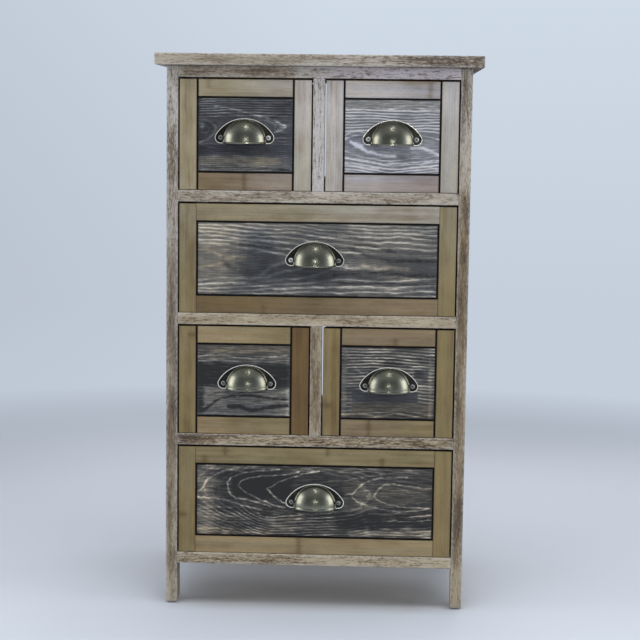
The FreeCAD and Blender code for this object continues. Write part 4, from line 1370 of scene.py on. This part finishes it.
def press_cross(mesh, pull):
    """Press a cross into a screw's head, a little narrower at its floor."""
    for axis in (RIGHT, UP):
        for place in (-pull.cross_long, -pull.cross_slim, pull.cross_slim, pull.cross_long):
            cut(mesh, axis * place, axis, nearest=0.5 * WELD)

    def in_cross(face):
        spot = face.calc_center_median()
        near, far = sorted((abs(spot.x), abs(spot.z)))
        return spot.y <= 0.5 * pull.head_height and far < pull.cross_long and near < pull.cross_slim

    cross = [face for face in mesh.faces if in_cross(face)]
    narrowing = 0.9
    for vert in points_in(bmesh.ops.extrude_face_region(mesh, geom=cross)["geom"]):
        vert.co = (vert.co.x * narrowing, vert.co.y + pull.cross_depth, vert.co.z * narrowing)
    bmesh.ops.delete(mesh, geom=cross, context="FACES")


def make_screw(drawer, index, low, high, glint_strength):
    """A pan-head screw with a pressed cross. Its head carries a painted highlight, brightest in a ring
    between middle and rim.
    """
    pull = bpy.context.scene.chest_pull
    radius = (high.x - low.x) / 2
    mesh = turned_screw(pull, radius, high.y - low.y)
    press_cross(mesh, pull)

    # Painted highlight: a bright ring on the head, its strength given for each screw
    def polish(point):
        reach = math.hypot(point.x, point.z) / radius
        ring = smooth(reach, 0.35, 0.6) * (1 - smooth(reach, 0.85, 1.0))
        return glint_strength * (0.3 + 0.9 * ring)

    paint(mesh, "polish", polish)
    turn = Matrix.Rotation(0.5 + 1.1 * index, 3, BACK)
    bmesh.ops.rotate(mesh, verts=mesh.verts, cent=(0, 0, 0), matrix=turn)
    middle = Vector(((low.x + high.x) / 2, low.y, (low.z + high.z) / 2))
    bmesh.ops.translate(mesh, vec=middle, verts=mesh.verts)
    name = "%s_pull_screw_%d" % (drawer, index + 1)
    finish = material("screw_steel", screw_steel)
    finished(name, mesh, drawer + "_pull_screws", finish)


# Operators, one for each piece or group of like pieces

class CHEST_OT_top_board(Operator):
    """Make the overhanging top board"""
    bl_idname = "chest.top_board"
    bl_label = "Top board"

    def execute(self, context):
        wood = context.scene.chest_wood
        looks = {
            "tone": fade(X, 60, 160, 0.08, -0.64),
            "warmth": fade(X, -100, 20, 0.55, 0.2),
            "crisp": fade(X, -50, 120, 0.65, 1.2),
        }
        make_boards(
            "top_board", top_wood(), wood.board_ease, wood.wear_depth, looks=looks,
            first_seed=11.0,
        )
        return {"FINISHED"}


class CHEST_OT_posts(Operator):
    """Make the four posts"""
    bl_idname = "chest.posts"
    bl_label = "Posts"

    def execute(self, context):
        wood = context.scene.chest_wood
        left_tones = ((40, -0.06), (100, -0.12), (220, -0.14), (320, -0.27), (500, -0.27), (640, 0.0))
        right_tones = ((40, 0.06), (100, -0.26), (300, -0.30), (500, -0.36), (640, 0.07))
        left_looks = {
            "tone": steps_along(Z, left_tones),
            "warmth": fade(Z, 150, 550, 0.65, 0),
            "crisp": fade(Z, 500, 640, 0.45, 1.0),
        }
        right_looks = {
            "tone": steps_along(Z, right_tones),
            "warmth": fade(Z, 450, 750, 1.15, 0),
            "crisp": fade(Z, 500, 640, 0.5, 1.0),
        }
        for side, looks, seed in (("left", left_looks, 20.0), ("right", right_looks, 23.0)):
            for place in ("front", "back"):
                make_boards(
                    "%s_%s_post" % (side, place), upright_wood(), wood.board_ease,
                    wood.wear_depth, looks=looks, first_seed=seed,
                )
        return {"FINISHED"}


# The front rails and dividers of the photo: pale and limed at the top, browner and darker further down
RAIL_LOOKS = {
    "top_rail": {
        "tone": fade(X, -50, 60, -0.02, 0.60),
        "warmth": fade(X, -60, 50, 0.3, -1.0),
        "crisp": fade(X, -50, 60, 0.7, 1.6),
    },
    "upper_rail": {"tone": 0.10, "crisp": 0.95},
    "middle_rail": {"tone": 0.17, "crisp": 0.8},
    "lower_rail": {"tone": fade(X, -200, -90, -0.50, -0.26), "warmth": 1.15, "crisp": 1.4},
    "bottom_rail": {"tone": 0.30, "crisp": 1.35},
}
DIVIDER_LOOKS = {
    "tone": fade(Z, 490, 510, -0.12, 0.6),
    "warmth": fade(Z, 490, 510, 1.0, -0.3),
    "crisp": fade(Z, 490, 510, 0.5, 1.5),
}


class CHEST_OT_front_rails(Operator):
    """Make the five front rails and the two dividers between the paired drawers"""
    bl_idname = "chest.front_rails"
    bl_label = "Front rails"

    def execute(self, context):
        wear = 0.5 * context.scene.chest_wood.wear_depth
        for index, node in enumerate(RAILS):
            make_boards(
                node, level_wood(), SMALL_EASE, wear, looks=RAIL_LOOKS[node],
                first_seed=31.0 + 2.3 * index,
            )
        make_boards(
            "front_dividers", upright_wood(), SMALL_EASE, wear, looks=DIVIDER_LOOKS,
            first_seed=45.0,
        )
        return {"FINISHED"}


class CHEST_OT_sides(Operator):
    """Make the side rails and the side panels"""
    bl_idname = "chest.sides"
    bl_label = "Sides"

    def execute(self, context):
        wear = 0.5 * context.scene.chest_wood.wear_depth
        make_boards("side_rails", side_wood(), SMALL_EASE, wear, first_seed=51.0)
        cell = 12 * MM
        for index, side in enumerate(("left", "right")):
            make_boards(
                side + "_side_panel", upright_wood(), THIN_EASE, 0.0, cell, cell,
                first_seed=57.0 + index,
            )
        return {"FINISHED"}


def level_plain_wood():
    return material("plain_wood_level", plain_wood, X)


def deep_plain_wood():
    return material("plain_wood_deep", plain_wood, Y)


class CHEST_OT_inner_frame(Operator):
    """Make the back rails and the runners"""
    bl_idname = "chest.inner_frame"
    bl_label = "Back rails and runners"

    def execute(self, context):
        wear = 0.2 * MM
        make_boards("back_rails", level_plain_wood(), SMALL_EASE, wear, first_seed=61.0)
        make_boards("drawer_runners", deep_plain_wood(), SMALL_EASE, wear, first_seed=71.0)
        return {"FINISHED"}


class CHEST_OT_fixings(Operator):
    """Finish the dowels and the glides under the posts"""
    bl_idname = "chest.fixings"
    bl_label = "Dowels and glides"

    def execute(self, context):
        for node, finish in (
            ("frame_dowels", material("dowel_wood", plain_wood, X)),
            ("foot_glides", material("glide_plastic", glide_plastic)),
        ):
            data = frame["nodes"][node].data
            data.materials.clear()
            data.materials.append(finish)
        return {"FINISHED"}


class CHEST_OT_front_boards(Operator):
    """Make the black boards behind the face strips"""
    bl_idname = "chest.front_boards"
    bl_label = "Front boards"

    def execute(self, context):
        ease = 0.6 * MM
        wear = 0.1 * MM
        black = material("black_board", black_board)
        for index, drawer in enumerate(DRAWERS):
            make_boards(drawer + "_front_board", black, ease, wear, first_seed=81.0 + index)
        return {"FINISHED"}


class CHEST_OT_face_strips(Operator):
    """Make the four bamboo strips on every drawer front"""
    bl_idname = "chest.face_strips"
    bl_label = "Face strips"

    def execute(self, context):
        for index, drawer in enumerate(DRAWERS):
            for place, (side, low, high) in enumerate(strip_places(drawer)):
                make_strip(drawer, low, high, side, 3.1 * index + 0.77 * place)
        return {"FINISHED"}


class CHEST_OT_face_panels(Operator):
    """Make the limed panels"""
    bl_idname = "chest.face_panels"
    bl_label = "Face panels"

    def execute(self, context):
        for index, drawer in enumerate(DRAWERS):
            make_panel(drawer, 1.3 + 2.9 * index)
        return {"FINISHED"}


def box_walls(drawer):
    """The corners of a drawer box's two sides, and of its back."""
    wood = bpy.context.scene.chest_wood
    low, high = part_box(drawer + "_box_walls")
    bottom_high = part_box(drawer + "_box_bottom")[1]
    back_low = Vector((low.x + wood.box_wall, bottom_high.y - wood.box_wall, bottom_high.z))
    back_high = Vector((high.x - wood.box_wall, bottom_high.y, high.z - wood.box_back_drop))
    sides = (
        (low.copy(), Vector((low.x + wood.box_wall, high.y, high.z))),
        (Vector((high.x - wood.box_wall, low.y, low.z)), high.copy()),
    )
    return sides, ((back_low, back_high),)


class CHEST_OT_drawer_boxes(Operator):
    """Make the sides, backs and bottoms of the drawers"""
    bl_idname = "chest.drawer_boxes"
    bl_label = "Drawer boxes"

    def execute(self, context):
        wear = 0.15 * MM
        cell = 15 * MM
        deep = deep_plain_wood()
        level = level_plain_wood()
        thin = material("thin_board", plain_wood, Y, 1.08)
        for index, drawer in enumerate(DRAWERS):
            sides, back = box_walls(drawer)
            for solids, grain in ((sides, deep), (back, level)):
                make_boards(
                    drawer + "_box_walls", grain, FACE_EASE, wear,
                    first_seed=91 + 5.3 * index, solids=solids,
                )
            make_boards(
                drawer + "_box_bottom", thin, THIN_EASE, 0.0, cell, cell,
                first_seed=93 + 5.3 * index,
            )
        return {"FINISHED"}


class CHEST_OT_pulls(Operator):
    """Make the cup pulls"""
    bl_idname = "chest.pulls"
    bl_label = "Cup pulls"

    def execute(self, context):
        for drawer in DRAWERS:
            make_pull(drawer)
        return {"FINISHED"}


class CHEST_OT_pull_screws(Operator):
    """Make the screws of the pulls"""
    bl_idname = "chest.pull_screws"
    bl_label = "Pull screws"

    def execute(self, context):
        # Painted highlights: how strong each screw head's painted glint is, brighter on a few screws
        usual_glint = 0.4
        bright = {("top_left", 1): 1.0, ("upper", 0): 0.95, ("top_right", 0): 0.8, ("top_right", 1): 0.7}
        for drawer in DRAWERS:
            for index, (low, high) in enumerate(solids_of(drawer + "_pull_screws")):
                make_screw(drawer, index, low, high, bright.get((drawer, index), usual_glint))
        return {"FINISHED"}


# Stage

FLOOR_RADIUS = 3.6
COVE = 1.4
COVE_STEPS = 12
WALL_TOP = 4.5
STAGE_STEPS = 96
CHEST_MIDDLE = (0, -0.1, 0.4)


def floor_colour(finish, x, y):
    """The floor, with painted shade that darkens it behind the chest, and painted brown shade below the
    chest's front.
    """
    floor = linear(bpy.context.scene.chest_stage.floor)
    # Painted shade: a brown tint that darkens the floor below the front of the chest
    painted_shade_tint = (0.58, 0.54, 0.48, 1)
    # Painted shadow: the floor grows darker from in front of the chest to well behind it
    ground = finish.mix(finish.spread(y, -0.4, 1.2), floor, shaded(floor, 0.68))
    under = finish.spread(finish.reckon("ABSOLUTE", x), 0.14, 0.24, 0.8, 0.0)
    under = finish.times(under, finish.spread(y, -0.17, -0.12))
    under = finish.times(under, finish.spread(y, -0.09, 0.04, 1.0, 0.0))
    return finish.tinted(under, ground, painted_shade_tint)


def backdrop_strength(finish, x, y, z, gloss):
    """How bright the backdrop is: more so to the right and above, and in gloss less so in front."""
    to_the_right = finish.spread(x, -1.6, -0.2, 0.87, 1.0)
    above = finish.spread(z, 0.0, 1.3, 0.95, 1.08)
    change_in_gloss = finish.spread(y, -3.8, -1.8, -0.7, 0.2)
    mirrored = finish.total((change_in_gloss, gloss), start=1.0)
    return finish.times(finish.times(to_the_right, above), mirrored)


def backdrop_material():
    """A pale floor that takes the chest's shadow, and a backdrop that only the camera and gloss see."""
    finish = Finish("pale_stage")
    places = finish.places()
    x, y, z = finish.parts(places)
    ray = finish.node("ShaderNodeLightPath").outputs
    gloss = ray["Is Glossy Ray"]
    finish.end(Base_Color=floor_colour(finish, x, y), Roughness=0.9)
    colour = linear(bpy.context.scene.chest_stage.backdrop)
    glow = finish.filled("ShaderNodeEmission", (colour, backdrop_strength(finish, x, y, z, gloss)))
    clear = finish.node("ShaderNodeBsdfTransparent")
    seen = finish.reckon("MAXIMUM", ray["Is Camera Ray"], gloss)
    seen = finish.reckon("MAXIMUM", seen, ray["Is Transmission Ray"])
    far = finish.filled("ShaderNodeMixShader", (seen, clear.outputs[0], glow.outputs[0]))
    distance = finish.filled("ShaderNodeVectorMath", (places,), operation="LENGTH").outputs["Value"]
    away = finish.spread(distance, 1.0, 1.9)
    whole = finish.filled("ShaderNodeMixShader", (away, finish.shader.outputs["BSDF"], far.outputs[0]))
    finish.feed(finish.output.inputs["Surface"], whole.outputs[0])
    return finish.material


def make_backdrop():
    """A round floor that turns up into a wall well behind every camera."""
    spots = [(0, 0, 0), (FLOOR_RADIUS, 0, 0)]
    for step in range(1, COVE_STEPS + 1):
        turn = math.pi / 2 * step / COVE_STEPS
        spots.append((FLOOR_RADIUS + COVE * math.sin(turn), 0, COVE * (1 - math.cos(turn))))
    spots.append((FLOOR_RADIUS + COVE, 0, WALL_TOP))
    mesh = bmesh.new()
    line = [mesh.verts.new(spot) for spot in spots]
    edges = [mesh.edges.new(pair) for pair in zip(line, line[1:])]
    bmesh.ops.spin(
        mesh, geom=line + edges, cent=(0, 0, 0), axis=UP, angle=2 * math.pi, steps=STAGE_STEPS,
        use_merge=True,
    )
    bmesh.ops.remove_doubles(mesh, verts=mesh.verts, dist=1 * MM)
    placed("backdrop", mesh_data("backdrop", mesh, backdrop_material()))


def make_lamp(name, place, size, power, aim=CHEST_MIDDLE, in_reflections=True, spread=math.pi):
    data = bpy.data.lights.new(name, "AREA")
    data.spread = spread
    data.shape = "RECTANGLE"
    data.size, data.size_y = size
    data.energy = power
    lamp = placed(name, data)
    lamp.location = place
    lamp.rotation_mode = "QUATERNION"
    lamp.rotation_quaternion = (Vector(aim) - Vector(place)).to_track_quat("-Z", "Y")
    lamp.visible_glossy = in_reflections


def make_lamps():
    make_lamp("window_left", (-1.4, -2.35, 1.3), (0.9, 1.8), 12.1, in_reflections=False)
    make_lamp("window_right", (1.4, -2.35, 1.4), (0.9, 1.8), 14, in_reflections=False)
    make_lamp("ceiling", (0.1, -0.45, 2.7), (2.2, 1.8), 36, in_reflections=False)
    make_lamp(
        "behind_chest", (0.2, 1.6, 0.45), (1.6, 0.4), 3, aim=(0, 0.1, 0), in_reflections=False,
        spread=math.radians(70),
    )
    make_lamp("behind_camera", (0.15, -2.6, 0.95), (0.24, 0.2), 3.5)
    for name, x in (("side_left", -2.5), ("side_right", 2.5)):
        make_lamp(name, (x, -0.62, 0.9), (1.0, 1.6), 17)
    for index, (x, y) in enumerate(((0.1, -1.0), (0.1, 0.25), (-1.7, 0.7), (1.8, 0.7))):
        make_lamp("ceiling_spot_%d" % (index + 1), (x, y, 2.5), (0.2, 0.2), 2.5)


def make_sky():
    stage = bpy.context.scene.chest_stage
    world = bpy.data.worlds.new("studio")
    world.use_nodes = True
    bpy.context.scene.world = world
    background = world.node_tree.nodes["Background"]
    background.inputs["Color"].default_value = linear(stage.sky)
    background.inputs["Strength"].default_value = stage.sky_strength


def make_camera():
    """The camera that took the photo, as fitted to the chest's corners."""
    stage = bpy.context.scene.chest_stage
    data = bpy.data.cameras.new("camera")
    data.lens = stage.lens
    data.sensor_width = 36.0
    camera = placed("camera", data)
    level = Vector((-math.sin(stage.yaw), math.cos(stage.yaw), 0))
    side = Vector((math.cos(stage.yaw), math.sin(stage.yaw), 0))
    ahead = level * math.cos(stage.pitch) - UP * math.sin(stage.pitch)
    above = UP * math.cos(stage.pitch) + level * math.sin(stage.pitch)
    right = side * math.cos(stage.roll) + above * math.sin(stage.roll)
    above = above * math.cos(stage.roll) - side * math.sin(stage.roll)
    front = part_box("left_front_post")[0].y
    turn = Matrix((right, above, -ahead)).transposed().to_4x4()
    place = Vector((stage.camera_side, front - stage.camera_distance, stage.camera_height))
    camera.matrix_world = Matrix.Translation(place) @ turn
    bpy.context.scene.camera = camera


class CHEST_OT_stage(Operator):
    """Make the floor, the backdrop, the lamps and the camera"""
    bl_idname = "chest.stage"
    bl_label = "Stage"

    def execute(self, context):
        make_backdrop()
        make_camera()
        make_lamps()
        make_sky()
        context.scene.view_settings.view_transform = "Standard"
        return {"FINISHED"}


class CHEST_PT_panel(Panel):
    """The chest's settings and its steps, in the order in which they run"""
    bl_idname = "CHEST_PT_panel"
    bl_label = "Chest of drawers"
    bl_space_type = "VIEW_3D"
    bl_region_type = "UI"
    bl_category = "Chest"

    def draw(self, context):
        for group in SETTINGS:
            box = self.layout.box()
            settings = getattr(context.scene, group)
            for name in settings.bl_rna.properties.keys():
                if name not in ("rna_type", "name"):
                    box.prop(settings, name)
        column = self.layout.column()
        for operator in OPERATORS:
            column.operator(operator.bl_idname)


OPERATORS = (
    CHEST_OT_stage,
    CHEST_OT_top_board,
    CHEST_OT_posts,
    CHEST_OT_front_rails,
    CHEST_OT_sides,
    CHEST_OT_inner_frame,
    CHEST_OT_fixings,
    CHEST_OT_front_boards,
    CHEST_OT_face_strips,
    CHEST_OT_face_panels,
    CHEST_OT_drawer_boxes,
    CHEST_OT_pulls,
    CHEST_OT_pull_screws,
)
SETTINGS = {
    "chest_wood": ChestWoodSettings,
    "chest_face": ChestFaceSettings,
    "chest_pull": ChestPullSettings,
    "chest_stage": ChestStageSettings,
}


def register():
    for kind in (*SETTINGS.values(), *OPERATORS, CHEST_PT_panel):
        bpy.utils.register_class(kind)
    for name, kind in SETTINGS.items():
        setattr(bpy.types.Scene, name, PointerProperty(type=kind))


def unregister():
    for name in SETTINGS:
        delattr(bpy.types.Scene, name)
    for kind in (CHEST_PT_panel, *OPERATORS, *SETTINGS.values()):
        bpy.utils.unregister_class(kind)


def main():
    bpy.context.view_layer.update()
    register()
    for operator in OPERATORS:
        category, name = operator.bl_idname.split(".")
        getattr(getattr(bpy.ops, category), name)()


if __name__ == "__main__":
    main()
